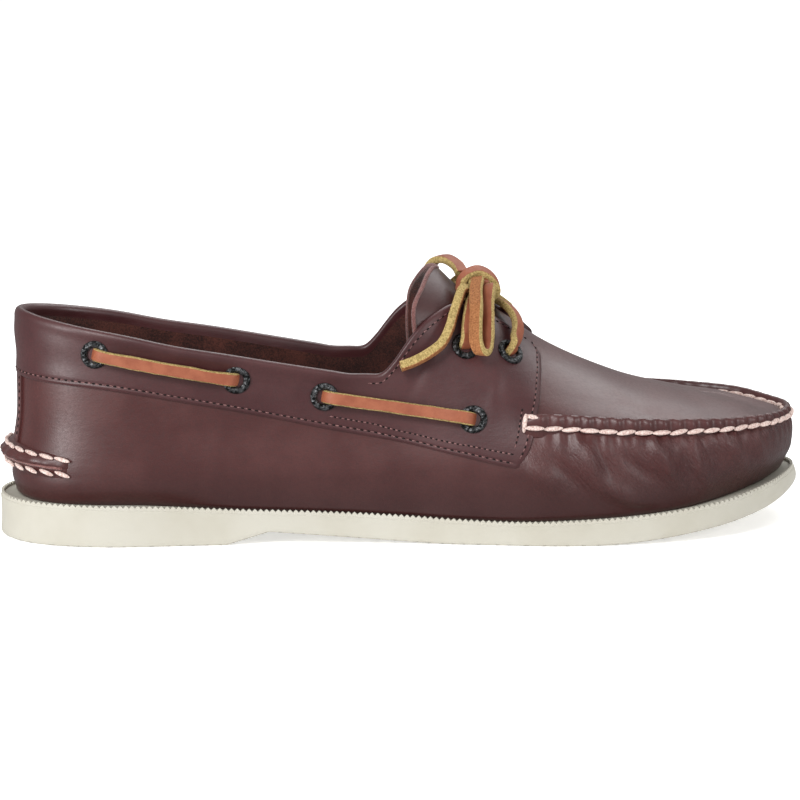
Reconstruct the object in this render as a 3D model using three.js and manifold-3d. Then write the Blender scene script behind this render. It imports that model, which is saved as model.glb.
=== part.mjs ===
// A boat shoe for the right foot: a hand-sewn moccasin upper on a one-piece rubber sole.
// Millimetres. +X runs from heel to toe, +Y to the inner side of the foot, +Z up.
// The floor is z = 0, and the origin lies under the middle of the shoe, its bow left out.
import * as THREE from "three";
import { mergeVertices } from "three/addons/utils/BufferGeometryUtils.js";
import Module from "manifold-3d";

const wasm = await Module();
wasm.setup();

// Driving sizes of the last and the sole.
const LENGTH = 298; // sole, heel to toe
const BALL_WIDTH = 102; // sole, across the ball
const LAST_HEIGHT = 90; // the sections' heights are shares of this, above the sole's top
const SOLE_HEIGHT = 15.8; // floor to the sole's top edge at the heel
const WAIST_RISE = 4.6; // of the sole's underside just before the heel
const TOE_SPRING = 7; // of the sole's underside at the toe
const LEDGE = 3; // sole showing round the upper at heel and toe

// Leather, rubber and running clearances.
const WALL = 1.9;
const OVERLAY = 1.1; // collar band and eyestay, laid over the wall
const STRIP = 0.8; // heel strip, laid over the back seam
const TONGUE_THICKNESS = 2.2;
const INSOLE_THICKNESS = 3;
const COLLAR_ROLL = 2.1; // radius of the rolled collar edge
const CLEARANCE = 0.3;

// Sewn ridges: the moccasin seam round the forefoot, and the one round the heel.
const RIDGE_HEIGHT = 3.8;
const RIDGE_DEPTH = 2.4;
const HEEL_RIDGE_DEPTH = 4.2;
const HEEL_RIDGE_HEIGHT = 7.6;
const HEEL_STRIP_WIDTH = 14;

// Sole edge.
const BEAD_HEIGHT = 1.5; // toothed rim round the top edge
const BEAD_STEP = 0.6; // how far the rim stands back from the side wall
const EDGE_CHAMFER = 1.2;

// Eyelets and lace.
const EYELET_RADIUS = 5.1;
const EYELET_BORE = 2.7; // radius
const EYELET_BARREL = 3.4; // radius
const EYELET_RIM = 1; // how far the rim stands up
const LACE_WIDTH = 4.8;
const LACE_THICKNESS = 2.6;

const LEATHER = { color: 0x5a3a3a, roughness: 0.42, metalness: 0 };
const SUEDE = { color: 0x3a2420, roughness: 0.95, metalness: 0 };
const RUBBER = { color: 0xe6e4d8, roughness: 0.7, metalness: 0 };
const METAL = { color: 0x23272a, roughness: 0.45, metalness: 0.8 };
const RAWHIDE = { color: 0xc27645, roughness: 0.7, metalness: 0 };

const OUTER = -1; // side of the little toe
const INNER = 1; // side of the big toe
const SIDES = [OUTER, INNER];

const xOf = (along) => (along - 0.5) * LENGTH;
const mix = (a, b, share) => a + (b - a) * share;
const named = (columns, rows) =>
  rows.map((row) => Object.fromEntries(row.map((value, i) => [columns[i], value])));

// A smooth curve through [x, y] pairs, as a function of x.
function curveThrough(pairs) {
  const last = pairs.length - 1;
  const slope = (i) => {
    const a = pairs[Math.max(i - 1, 0)];
    const b = pairs[Math.min(i + 1, last)];
    return (b[1] - a[1]) / (b[0] - a[0]);
  };
  return (x) => {
    let i = pairs.findIndex((pair) => pair[0] > x) - 1;
    if (x <= pairs[0][0]) i = 0;
    if (i < 0) i = last - 1;
    const [[x0, y0], [x1, y1]] = [pairs[i], pairs[i + 1]];
    const span = x1 - x0;
    const s = THREE.MathUtils.clamp((x - x0) / span, 0, 1);
    const rise = y1 - y0;
    const m0 = slope(i) * span;
    const m1 = slope(i + 1) * span;
    return y0 + s * (m0 + s * (3 * rise - 2 * m0 - m1 + s * (m0 + m1 - 2 * rise)));
  };
}

// The sole's top edge: share of the length, and height as a share of SOLE_HEIGHT.
const soleTopShare = curveThrough([
  [0, 1],
  [0.08, 1],
  [0.18, 0.965],
  [0.28, 0.865],
  [0.38, 0.79],
  [0.48, 0.7],
  [0.55, 0.62],
  [0.62, 0.585],
  [0.7, 0.63],
  [0.79, 0.73],
  [0.88, 0.9],
  [0.94, 1.08],
  [1, 1.25],
]);
const HEEL_FRONT = 0.27; // shares of the length, where the sole's underside changes
const WAIST_START = 0.322;
const BALL_START = 0.55;
const SPRING_START = 0.7;
const alongOf = (x) => x / LENGTH + 0.5;
const soleTop = (x) => SOLE_HEIGHT * soleTopShare(alongOf(x));
function soleBottom(x) {
  const along = alongOf(x);
  if (along <= HEEL_FRONT) return 0;
  if (along <= WAIST_START)
    return (WAIST_RISE * (along - HEEL_FRONT)) / (WAIST_START - HEEL_FRONT);
  if (along <= BALL_START)
    return WAIST_RISE * ((BALL_START - along) / (BALL_START - WAIST_START)) ** 1.3;
  if (along <= SPRING_START) return 0;
  return TOE_SPRING * ((along - SPRING_START) / (1 - SPRING_START)) ** 2.2;
}

// The last, one row for each section from the back of the heel to the tip of the toe.
// along, outer, inner: the widest line in plan, as shares of LENGTH and BALL_WIDTH.
// crownAlong, crownAcross: where the section meets the crown.
// feather, seam, cheek, brow: how far in towards the crown each level lies, as a share.
// bulge, seamUp, cheekUp, browUp, crownUp: heights of the levels, as shares of LAST_HEIGHT.
// ledgeOuter, ledgeInner: how far the sole stands out past the last, as shares of LEDGE.
const LAST = named(
  [
    ["along", "outer", "inner", "crownAlong", "crownAcross"],
    ["feather", "bulge", "seam", "seamUp", "cheek", "cheekUp", "brow", "browUp", "crownUp"],
    ["ledgeOuter", "ledgeInner"],
  ].flat(),
  [
    [0.0155, 0, 0, 0.124, 0, 0.11, 0.1, 0.075, 0.31, 0.085, 0.54, 0.15, 0.76, 0.93, 1.5, 1.5],
    [0.04, -0.2, 0.195, 0.13, 0, 0.11, 0.1, 0.08, 0.31, 0.13, 0.54, 0.24, 0.75, 0.93, 1.1, 1.1],
    [0.118, -0.318, 0.308, 0.155, 0, 0.13, 0.1, 0.06, 0.31, 0.14, 0.53, 0.26, 0.75, 0.95, 0.5, 0.5],
    [0.25, -0.335, 0.31, 0.25, 0, 0.14, 0.12, 0.05, 0.32, 0.09, 0.51, 0.17, 0.73, 1, 0.2, 0],
    [0.385, -0.35, 0.29, 0.385, 0, 0.13, 0.14, 0.05, 0.33, 0.09, 0.5, 0.15, 0.73, 1.03, 0.1, -0.7],
    [0.48, -0.378, 0.3, 0.48, -0.005, 0.12, 0.16, 0.06, 0.34, 0.13, 0.56, 0.29, 0.84, 1.05, 0.2, -0.6],
    [0.574, -0.428, 0.345, 0.574, -0.02, 0.12, 0.18, 0.07, 0.375, 0.25, 0.61, 0.6, 0.82, 0.89, 0.3, 0],
    [0.669, -0.482, 0.412, 0.669, -0.015, 0.12, 0.18, 0.09, 0.355, 0.36, 0.49, 0.68, 0.605, 0.655, 0.4, 0.3],
    [0.77, -0.485, 0.456, 0.763, 0, 0.12, 0.17, 0.09, 0.315, 0.4, 0.41, 0.7, 0.468, 0.492, 0.5, 0.4],
    [0.865, -0.41, 0.44, 0.83, 0.02, 0.13, 0.15, 0.08, 0.275, 0.4, 0.34, 0.7, 0.378, 0.396, 0.7, 0.5],
    [0.938, -0.262, 0.365, 0.866, 0.04, 0.14, 0.115, 0.07, 0.23, 0.4, 0.285, 0.7, 0.315, 0.33, 0.8, 0.7],
    [0.9775, -0.078, 0.218, 0.882, 0.054, 0.16, 0.095, 0.06, 0.2, 0.4, 0.252, 0.7, 0.281, 0.297, 0.9, 0.8],
    [0.991, 0.069, 0.069, 0.889, 0.059, 0.17, 0.09, 0.06, 0.195, 0.4, 0.248, 0.7, 0.275, 0.29, 0.9, 0.9],
  ],
);
const LAST_ROW = LAST.length - 1;
const [BULGE, SEAM, CROWN] = [1, 2, 5]; // levels of a section, from the feather at 0

const sideOf = (side, outer, inner) => (side === OUTER ? outer : inner);
function catmull(p0, p1, p2, p3, s) {
  const a = 2 * p0 - 5 * p1 + 4 * p2 - p3;
  const b = 3 * p1 - p0 - 3 * p2 + p3;
  return p1 + (s / 2) * (p2 - p0 + s * (a + s * b));
}

// A column's value at a place between the rows. Past heel and toe, the other side goes on.
function column(row, side, outerName, innerName = outerName) {
  const at = (i) => {
    const beyond = i < 0 || i > LAST_ROW;
    const folded = i < 0 ? -i : i > LAST_ROW ? 2 * LAST_ROW - i : i;
    return LAST[folded][sideOf(beyond ? -side : side, outerName, innerName)];
  };
  const i = THREE.MathUtils.clamp(Math.floor(row), 0, LAST_ROW - 1);
  return catmull(at(i - 1), at(i), at(i + 1), at(i + 2), row - i);
}

const outline = (row, side) =>
  new THREE.Vector2(
    xOf(column(row, side, "along")),
    BALL_WIDTH * column(row, side, "outer", "inner"),
  );

// Outward normal of the outline in plan.
function outlineNormal(row, side) {
  const step = 0.02;
  const walk = (at) => {
    if (at < 0) return outline(-at, -side);
    return at > LAST_ROW ? outline(2 * LAST_ROW - at, -side) : outline(at, side);
  };
  const along = walk(row + step).sub(walk(row - step)).normalize();
  return new THREE.Vector2(-along.y, along.x).multiplyScalar(side);
}

// A point of the last: row 0 to LAST_ROW from heel to toe, level 0 to CROWN upwards.
function lastPoint(row, side, level) {
  const edge = outline(row, side);
  const crown = new THREE.Vector2(
    xOf(column(row, side, "crownAlong")),
    BALL_WIDTH * column(row, side, "crownAcross"),
  );
  const base = soleTop(edge.x);
  const share = (name) => column(row, side, name);
  const levels = [
    [share("feather"), 0],
    [0, share("bulge")],
    [share("seam"), share("seamUp")],
    [share("cheek"), share("cheekUp")],
    [share("brow"), share("browUp")],
    [1, share("crownUp")],
  ];
  const below = levels[0].map((value, i) => 2 * value - levels[1][i]);
  const mirrored = [2 - levels[4][0], levels[4][1]];
  const all = [below, ...levels, mirrored];
  const i = THREE.MathUtils.clamp(Math.floor(level), 0, CROWN - 1);
  const at = (k) =>
    catmull(all[i][k], all[i + 1][k], all[i + 2][k], all[i + 3][k], level - i);
  const plan = edge.lerp(crown, at(0));
  const lift = (1 - THREE.MathUtils.clamp(level, 0, 1)) * (soleTop(plan.x) - base);
  return new THREE.Vector3(plan.x, plan.y, base + LAST_HEIGHT * at(1) + lift + CLEARANCE);
}

// Outward normal of the last.
function lastNormal(row, side, level) {
  const step = 0.03;
  const near = Math.min(level + step, CROWN);
  const up = lastPoint(row, side, near).sub(lastPoint(row, side, near - 2 * step));
  const walk = (at) => {
    if (at < 0) return lastPoint(-at, -side, level);
    return at > LAST_ROW ? lastPoint(2 * LAST_ROW - at, -side, level) : lastPoint(at, side, level);
  };
  if (level > CROWN - step) {
    const ridge = lastPoint(Math.min(row + step, LAST_ROW), side, CROWN);
    ridge.sub(lastPoint(Math.max(row - step, 0), side, CROWN));
    return new THREE.Vector3(-ridge.z, 0, ridge.x).normalize();
  }
  const along = walk(row + step).sub(walk(row - step));
  return along.cross(up).multiplyScalar(-side).normalize();
}

const onLast = (row, side, level, out) =>
  lastPoint(row, side, level).addScaledVector(lastNormal(row, side, level), out);

// The place on the last whose side view is (x, z).
function locate(x, z, side) {
  let [row, level] = [LAST_ROW / 2, 2.5];
  const rowLimits = [0, LAST_ROW];
  for (let pass = 0; pass < 24; pass++) {
    level = bisect((at) => lastPoint(row, side, at).z - z, 0.5, CROWN);
    row = bisect((at) => lastPoint(at, side, level).x - x, ...rowLimits);
  }
  return { row, level, side };
}
function bisect(f, low, high) {
  for (let step = 0; step < 30; step++) {
    const middle = (low + high) / 2;
    if (f(middle) < 0) low = middle;
    else high = middle;
  }
  return (low + high) / 2;
}

// Side view lines, as shares of LENGTH and, above the sole's top, of LAST_HEIGHT.
const sideX = (along) => xOf(along);
const sideZ = (along, up) => soleTop(xOf(along)) + CLEARANCE + LAST_HEIGHT * up;
const TOPLINE = [
  [-0.02, 0.75],
  [0.025, 0.745],
  [0.05, 0.73],
  [0.09, 0.707],
  [0.15, 0.675],
  [0.21, 0.64],
  [0.275, 0.617],
  [0.335, 0.59],
  [0.4, 0.562],
  [0.44, 0.546],
  [0.46, 0.55],
  [0.474, 0.595],
  [0.488, 0.66],
  [0.5, 0.712],
  [0.515, 0.76],
  [0.53, 0.795],
  [0.545, 0.82],
  [0.558, 0.83],
];
const COLLAR_CORNER = 10; // row of TOPLINE where the throat's edge starts to rise
const BAND_EDGE = [
  [-0.02, 0.485],
  [0.02, 0.483],
  [0.12, 0.463],
  [0.2, 0.428],
  [0.3, 0.385],
  [0.4, 0.33],
  [0.48, 0.295],
  [0.54, 0.262],
  [0.6, 0.226],
  [0.627, 0.21],
];
const EYESTAY_FRONT = [
  [0.631, 0.32],
  [0.634, 0.4],
  [0.65, 0.465],
  [0.657, 0.525],
  [0.661, 0.58],
  [0.659, 0.635],
  [0.65, 0.685],
];
const toplineUp = curveThrough(TOPLINE);
const rollZ = (x) => sideZ(alongOf(x), toplineUp(alongOf(x))) - COLLAR_ROLL;
// The slot of the throat in plan: share of the length, and half width as a share of the width.
const THROAT = [
  [0.53, 0.2],
  [0.56, 0.165],
  [0.6, 0.145],
  [0.63, 0.12],
  [0.648, 0.08],
  [0.655, 0],
];
// The tongue's free edge, in side view.
const TONGUE_EDGE = [
  [0.52, 0.5],
  [0.507, 0.72],
  [0.503, 0.81],
  [0.515, 0.89],
  [0.533, 0.965],
  [0.56, 1.02],
];
const TONGUE_FRONT = 0.7; // share of the length, under the vamp
const TONGUE_HALF = 0.27; // half width, as a share of the ball width

// Eyelets of one side, as side view shares: four for the side lace and two at the throat.
const EYELETS = named(
  ["place", "along", "up"],
  [
    ["heel_rear", 0.1128, 0.603],
    ["heel_front", 0.2832, 0.521],
    ["waist_rear", 0.3903, 0.461],
    ["waist_front", 0.5705, 0.4],
    ["throat_rear", 0.564, 0.678],
    ["throat_front", 0.62, 0.643],
  ],
);

// Solids and meshes.
function solidOf(geometry) {
  const bare = geometry.clone();
  for (const name of Object.keys(bare.attributes))
    if (name !== "position") bare.deleteAttribute(name);
  const merged = mergeVertices(bare, 1e-4);
  return new wasm.Manifold(
    new wasm.Mesh({
      numProp: 3,
      vertProperties: new Float32Array(merged.attributes.position.array),
      triVerts: new Uint32Array(merged.index.array),
    }),
  );
}
function geometryOf(solid) {
  const mesh = solid.getMesh();
  const geometry = new THREE.BufferGeometry();
  const place = new Float32Array(mesh.numVert * 3);
  for (let i = 0; i < mesh.numVert; i++)
    place.set(mesh.vertProperties.subarray(i * mesh.numProp, i * mesh.numProp + 3), i * 3);
  geometry.setAttribute("position", new THREE.BufferAttribute(place, 3));
  geometry.setIndex(new THREE.BufferAttribute(mesh.triVerts, 1));
  const flat = geometry.toNonIndexed();
  flat.computeVertexNormals();
  return flat;
}

// A closed mesh from a grid of points: grid[i][j], with faces that look out when i runs
// round the piece and j runs up it. Points that coincide are one, and slivers are left out.
class Skin {
  constructor() {
    this.points = [];
    this.faces = [];
    this.known = new Map();
  }
  add(point) {
    const key = point.toArray().map((value) => Math.round(value * 1e4)).join();
    if (!this.known.has(key)) {
      this.known.set(key, this.points.length);
      this.points.push(point);
    }
    return this.known.get(key);
  }
  triangle(a, b, c) {
    const face = [a, b, c].map((point) => this.add(point));
    if (new Set(face).size === 3) this.faces.push(face);
  }
  quad(a, b, c, d) {
    this.triangle(a, b, c);
    this.triangle(a, c, d);
  }
  wrap(grid) {
    grid.slice(0, -1).forEach((lineOfPoints, i) => {
      for (let j = 0; j < lineOfPoints.length - 1; j++)
        this.quad(grid[i][j], grid[i + 1][j], grid[i + 1][j + 1], grid[i][j + 1]);
    });
  }
  geometry() {
    const geometry = new THREE.BufferGeometry();
    geometry.setAttribute(
      "position",
      new THREE.Float32BufferAttribute(this.points.flatMap((point) => point.toArray()), 3),
    );
    geometry.setIndex(this.faces.flat());
    return geometry;
  }
  solid() {
    return solidOf(this.geometry());
  }
}

// A solid swept along frames {at, out, up}, with a section of [out, up] pairs that turns
// anticlockwise as seen from the path's start.
function sweep(frames, sectionAt) {
  const skin = new Skin();
  const rings = frames.map((frame, i) =>
    sectionAt(i / (frames.length - 1)).map(([out, up]) =>
      frame.at.clone().addScaledVector(frame.out, out).addScaledVector(frame.up, up),
    ),
  );
  const closed = rings.map((ring) => [...ring, ring[0]]);
  skin.wrap(closed);
  for (const [ring, flip] of [
    [rings[0], false],
    [rings.at(-1), true],
  ])
    for (let k = 1; k < ring.length - 1; k++) {
      if (flip) skin.triangle(ring[0], ring[k + 1], ring[k]);
      else skin.triangle(ring[0], ring[k], ring[k + 1]);
    }
  const solid = skin.solid();
  return solid.volume() < 0 ? solidOf(flipped(skin.geometry())) : solid;
}
function flipped(geometry) {
  const index = geometry.index.array;
  for (let i = 0; i < index.length; i += 3)
    [index[i + 1], index[i + 2]] = [index[i + 2], index[i + 1]];
  return geometry;
}

const steps = (from, to, count) =>
  Array.from({ length: count + 1 }, (_, i) => mix(from, to, i / count));

// The whole walk round the shoe, as [row, side] pairs: outer side to the toe, inner side back.
const ROUND = 22; // steps along one side
const walkRound = [
  ...steps(0, LAST_ROW, ROUND).map((row) => [row, OUTER]),
  ...steps(LAST_ROW, 0, ROUND).slice(1).map((row) => [row, INNER]),
];
const LEVELS = [0, 0.45, 1, 1.5, 2, 2.5, 3, 3.5, 4, 4.5, 5];

// The closed form of the last, grown by `out`, with its foot lowered by `drop`.
function form(out, drop = 0) {
  const grid = walkRound.map(([row, side]) =>
    LEVELS.map((level) => {
      const point = onLast(row, side, level, out);
      if (level === 0) point.z = soleTop(point.x) + CLEARANCE - drop;
      if (level === CROWN) point.y = BALL_WIDTH * column(row, side, "crownAcross");
      return point;
    }),
  );
  const skin = new Skin();
  skin.wrap(grid);
  for (let i = 0; i < ROUND; i++) {
    const j = grid.length - 1 - i;
    skin.quad(grid[i][0], grid[j][0], grid[j - 1][0], grid[i + 1][0]);
  }
  const solid = skin.solid();
  return solid.volume() < 0 ? solidOf(flipped(skin.geometry())) : solid;
}

// A prism of a side view outline, [x, z] pairs, through the whole width.
function sidePrism(pairs) {
  const shape = new THREE.Shape(pairs.map(([x, z]) => new THREE.Vector2(x, z)));
  const wide = 2 * BALL_WIDTH;
  const prism = new THREE.ExtrudeGeometry(shape, { depth: wide, bevelEnabled: false });
  prism.rotateX(Math.PI / 2);
  prism.translate(0, wide / 2, 0);
  return solidOf(prism);
}
// A prism of a plan outline, [x, y] pairs, from `low` upwards.
function planPrism(pairs, low) {
  const shape = new THREE.Shape(pairs.map(([x, y]) => new THREE.Vector2(x, y)));
  const prism = new THREE.ExtrudeGeometry(shape, {
    depth: 2 * LAST_HEIGHT,
    bevelEnabled: false,
  });
  prism.translate(0, 0, low);
  return solidOf(prism);
}
const sideLine = (table) => table.map(([along, up]) => [sideX(along), sideZ(along, up)]);
// A side view table with points added between its own, on the smooth curve.
function fineLine(table, count) {
  const points = sideLine(table).map(([x, z]) => new THREE.Vector3(x, 0, z));
  return new THREE.CatmullRomCurve3(points).getPoints(count).map((point) => [point.x, point.z]);
}
const SKY = 2 * LAST_HEIGHT; // above everything
const place = (along, across, up) => new THREE.Vector3(xOf(along), across, sideZ(along, up));

function outsole() {
  const grow = (row, side, out, z) => {
    const ledge = LEDGE * column(row, side, "ledgeOuter", "ledgeInner");
    const plan = outline(row, side).addScaledVector(outlineNormal(row, side), ledge + out);
    return new THREE.Vector3(plan.x, plan.y, z(plan.x));
  };
  const inside = -2.5 * LEDGE;
  const top = (down) => (x) => soleTop(x) - down;
  const bottom = (up) => (x) => soleBottom(x) + up;
  const profile = [
    [inside, bottom(0)],
    [-EDGE_CHAMFER, bottom(0)],
    [0, bottom(EDGE_CHAMFER)],
    [0, top(BEAD_HEIGHT)],
    [-BEAD_STEP, top(BEAD_HEIGHT)],
    [-BEAD_STEP, top(0)],
    [inside, top(0)],
  ];
  // More steps near heel front and waist keep the corners of the underside.
  const breast = [HEEL_FRONT, WAIST_START].map((along) =>
    bisect((row) => outline(row, OUTER).x - xOf(along), 1, LAST_ROW),
  );
  const rows = [...steps(0, LAST_ROW, 36), ...breast].sort((a, b) => a - b);
  const round = [
    ...rows.map((row) => [row, OUTER]),
    ...rows.slice(0, -1).reverse().map((row) => [row, INNER]),
  ];
  const grid = round.map(([row, side]) =>
    profile.map(([out, z]) => grow(row, side, out, z)),
  );
  const skin = new Skin();
  skin.wrap(grid);
  for (let i = 0; i < rows.length - 1; i++) {
    const j = grid.length - 1 - i;
    skin.quad(grid[i][0], grid[j][0], grid[j - 1][0], grid[i + 1][0]);
    const [a, b] = [grid[i], grid[i + 1]].map((line) => line.at(-1));
    const [d, c] = [grid[j], grid[j - 1]].map((line) => line.at(-1));
    skin.quad(a, b, c, d);
  }
  const solid = skin.solid();
  return solid.volume() < 0 ? solidOf(flipped(skin.geometry())) : solid;
}

function insole() {
  const line = steps(0, 1, 24).map((along) => xOf(along));
  const low = line.map((x) => [x, soleTop(x) + CLEARANCE]);
  const high = line.map((x) => [x, soleTop(x) + CLEARANCE + INSOLE_THICKNESS]);
  const slab = sidePrism([...low, ...high.reverse()]);
  return form(-WALL - CLEARANCE, LEDGE).intersect(slab);
}

// The rolled edge of the collar, from one corner of the throat round the heel to the other.
const COLLAR_STEPS = 15; // along one side
const COLLAR_FRONT = 0.452; // where the topline turns up to the throat, as a share of LENGTH
function collarRoll() {
  const corners = SIDES.map((side) =>
    bisect((row) => lastPoint(row, side, 3.2).x - xOf(COLLAR_FRONT), 1, LAST_ROW),
  );
  const path = [
    ...steps(corners[0], 0, COLLAR_STEPS).map((row) => [row, OUTER]),
    ...steps(0, corners[1], COLLAR_STEPS).slice(1).map((row) => [row, INNER]),
  ];
  const frames = path.map(([row, side]) => {
    const level = bisect((at) => {
      const point = lastPoint(row, side, at);
      return point.z - rollZ(point.x);
    }, 1.5, 4.8);
    const out = lastNormal(row, side, level).setZ(0).normalize();
    const at = onLast(row, side, level, OVERLAY - COLLAR_ROLL);
    return { at, out, up: new THREE.Vector3(0, 0, 1) };
  });
  const section = steps(0, 2 * Math.PI, 8)
    .slice(1)
    .map((turn) => [COLLAR_ROLL * Math.cos(turn), COLLAR_ROLL * Math.sin(turn)]);
  return sweep(frames, () => section);
}

// The sewn ridge round the forefoot, standing on the seam line.
const SEAM_START = 6.82; // row where the ridge comes out from under the eyestay
const RIDGE_STEPS = 18; // along one side
const RIDGE_ROOT = 2; // depth to which the ridge is set into the leather
function forefootRidge() {
  const path = [
    ...steps(SEAM_START, LAST_ROW, RIDGE_STEPS).map((row) => [row, OUTER]),
    ...steps(LAST_ROW, SEAM_START, RIDGE_STEPS).slice(1).map((row) => [row, INNER]),
  ];
  const frames = path.map(([row, side]) => {
    const plan = outlineNormal(row, side);
    return {
      at: lastPoint(row, side, SEAM),
      out: new THREE.Vector3(plan.x, plan.y, 0),
      up: new THREE.Vector3(0, 0, 1),
    };
  });
  const half = RIDGE_DEPTH / 2;
  const section = [
    [half, -RIDGE_ROOT],
    [half, RIDGE_HEIGHT - half],
    [0, RIDGE_HEIGHT],
    [-half, RIDGE_HEIGHT - half],
    [-half, -RIDGE_ROOT],
  ];
  return sweep(frames, () => section);
}

// The shorter ridge round the back of the heel, which fades out to both sides.
const HEEL_RIDGE_END = 1.55; // row
const HEEL_RIDGE_UP = 0.158; // height of its middle, as a share of LAST_HEIGHT
const HEEL_RIDGE_FALL = 0.012; // how far it falls towards its ends, by the row squared
const HEEL_RIDGE_STEPS = 9; // along one side
function heelRidge() {
  const path = [
    ...steps(HEEL_RIDGE_END, 0, HEEL_RIDGE_STEPS).map((row) => [row, OUTER]),
    ...steps(0, HEEL_RIDGE_END, HEEL_RIDGE_STEPS).slice(1).map((row) => [row, INNER]),
  ];
  const frames = path.map(([row, side]) => {
    const height = HEEL_RIDGE_UP - HEEL_RIDGE_FALL * row * row;
    const level = bisect((at) => {
      const point = lastPoint(row, side, at);
      return point.z - sideZ(alongOf(point.x), height);
    }, 0.5, 3);
    const out = lastNormal(row, side, level).setZ(0).normalize();
    return { at: lastPoint(row, side, level), out, up: new THREE.Vector3(0, 0, 1) };
  });
  const half = HEEL_RIDGE_HEIGHT / 2;
  return sweep(frames, (share) => {
    const fade = Math.sin(Math.PI * share) ** 0.5;
    const out = mix(0.4, HEEL_RIDGE_DEPTH, fade);
    const tall = mix(0.5, half, fade);
    return [
      [-1, -half],
      [out * 0.8, -tall],
      [out, 0],
      [out * 0.8, tall],
      [-1, half],
    ];
  });
}

// The frame of a place on the last: the point, the outward normal, and the way up.
function seat(place, out) {
  const { row, side, level } = place;
  return { at: onLast(row, side, level, out), normal: lastNormal(row, side, level) };
}
const eyeletSeats = SIDES.flatMap((side) =>
  EYELETS.map((eyelet) => {
    const place = locate(sideX(eyelet.along), sideZ(eyelet.along, eyelet.up), side);
    const name = `${sideOf(side, "outer", "inner")}_${eyelet.place}`;
    return { name, side, place: eyelet.place, ...seat(place, OVERLAY) };
  }),
);
const UP = new THREE.Vector3(0, 1, 0); // axis of a lathe
function stand(geometry, { at, normal }) {
  geometry.applyQuaternion(new THREE.Quaternion().setFromUnitVectors(UP, normal));
  return geometry.translate(at.x, at.y, at.z);
}
const EYELET_SIDES = 10;
function eyelet(seatOfOne) {
  const depth = WALL + OVERLAY;
  const profile = [
    [EYELET_BORE, -depth],
    [EYELET_BARREL, -depth],
    [EYELET_BARREL, CLEARANCE],
    [EYELET_RADIUS, CLEARANCE],
    [mix(EYELET_RADIUS, EYELET_BORE, 0.35), CLEARANCE + EYELET_RIM],
    [EYELET_BORE, CLEARANCE + 0.6 * EYELET_RIM],
    [EYELET_BORE, -depth],
  ].map(([r, y]) => new THREE.Vector2(r, y));
  const ring = new THREE.LatheGeometry(profile, EYELET_SIDES);
  const solid = solidOf(ring);
  return stand(solid.volume() < 0 ? flipped(mergeVertices(ring)) : ring, seatOfOne);
}
// The hole for an eyelet's barrel, and the flat its rim is pressed into.
function eyeletHole(seatOfOne) {
  const radius = EYELET_BARREL + CLEARANCE;
  const deep = 4 * (WALL + OVERLAY);
  const hole = new THREE.CylinderGeometry(radius, radius, deep, EYELET_SIDES);
  const pressed = EYELET_RADIUS + CLEARANCE;
  const flat = new THREE.CylinderGeometry(pressed, pressed, 2, EYELET_SIDES).translate(0, 1, 0);
  return solidOf(stand(hole, seatOfOne)).add(solidOf(stand(flat, seatOfOne)));
}

function upper() {
  const inner = form(-WALL, 2 * LEDGE);
  const bandFloor = fineLine([...BAND_EDGE, ...EYESTAY_FRONT], 32);
  const front = bandFloor.at(-1)[0];
  const band = sidePrism([...bandFloor, [front, SKY], [-LENGTH, SKY], [-LENGTH, bandFloor[0][1]]]);
  const cuff = form(OVERLAY).intersect(band);
  const half = HEEL_STRIP_WIDTH / 2;
  const strip = form(STRIP).intersect(
    planPrism([[-LENGTH, -half], [xOf(0.1), -half], [xOf(0.1), half], [-LENGTH, half]], soleTop(xOf(0))),
  );
  const line = fineLine(TOPLINE, 28);
  const throatStart = xOf(TOPLINE[COLLAR_CORNER][0]);
  for (const point of line) if (point[0] < throatStart) point[1] -= COLLAR_ROLL;
  const collar = sidePrism([...line, [line.at(-1)[0], SKY], [-LENGTH, SKY]]);
  const slot = throatSlot();
  return form(0)
    .add(cuff)
    .add(strip)
    .add(forefootRidge())
    .add(heelRidge())
    .subtract(inner)
    .subtract(collar)
    .subtract(slot)
    .add(collarRoll())
    .subtract(wasm.Manifold.union(eyeletSeats.map(eyeletHole)));
}
function throatSlot() {
  const centre = BALL_WIDTH * LAST[6].crownAcross;
  const edge = THROAT.map(([along, half]) => new THREE.Vector3(xOf(along), BALL_WIDTH * half, 0));
  const side = new THREE.CatmullRomCurve3(edge).getPoints(10).map((p) => [p.x, p.y]);
  const other = side.slice(0, -1).reverse().map(([x, y]) => [x, centre - y]);
  return planPrism([...side.map(([x, y]) => [x, centre + y]), ...other], sideZ(0.6, 0.5));
}

function tongue() {
  const outside = -WALL - CLEARANCE;
  const layer = form(outside).subtract(form(outside - TONGUE_THICKNESS, 2 * LEDGE));
  const edge = fineLine(TONGUE_EDGE, 24);
  const front = xOf(TONGUE_FRONT);
  const side = sidePrism([...edge, [front, SKY], [front, edge[0][1] - 30]]);
  const centre = BALL_WIDTH * LAST[6].crownAcross;
  const half = BALL_WIDTH * TONGUE_HALF;
  const corners = [
    [xOf(0.48), centre + half],
    [xOf(0.48), centre - half],
    [front, centre - 0.75 * half],
    [front, centre + 0.75 * half],
  ];
  return layer.intersect(side).intersect(planPrism(corners, sideZ(0.6, 0.3)));
}

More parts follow.
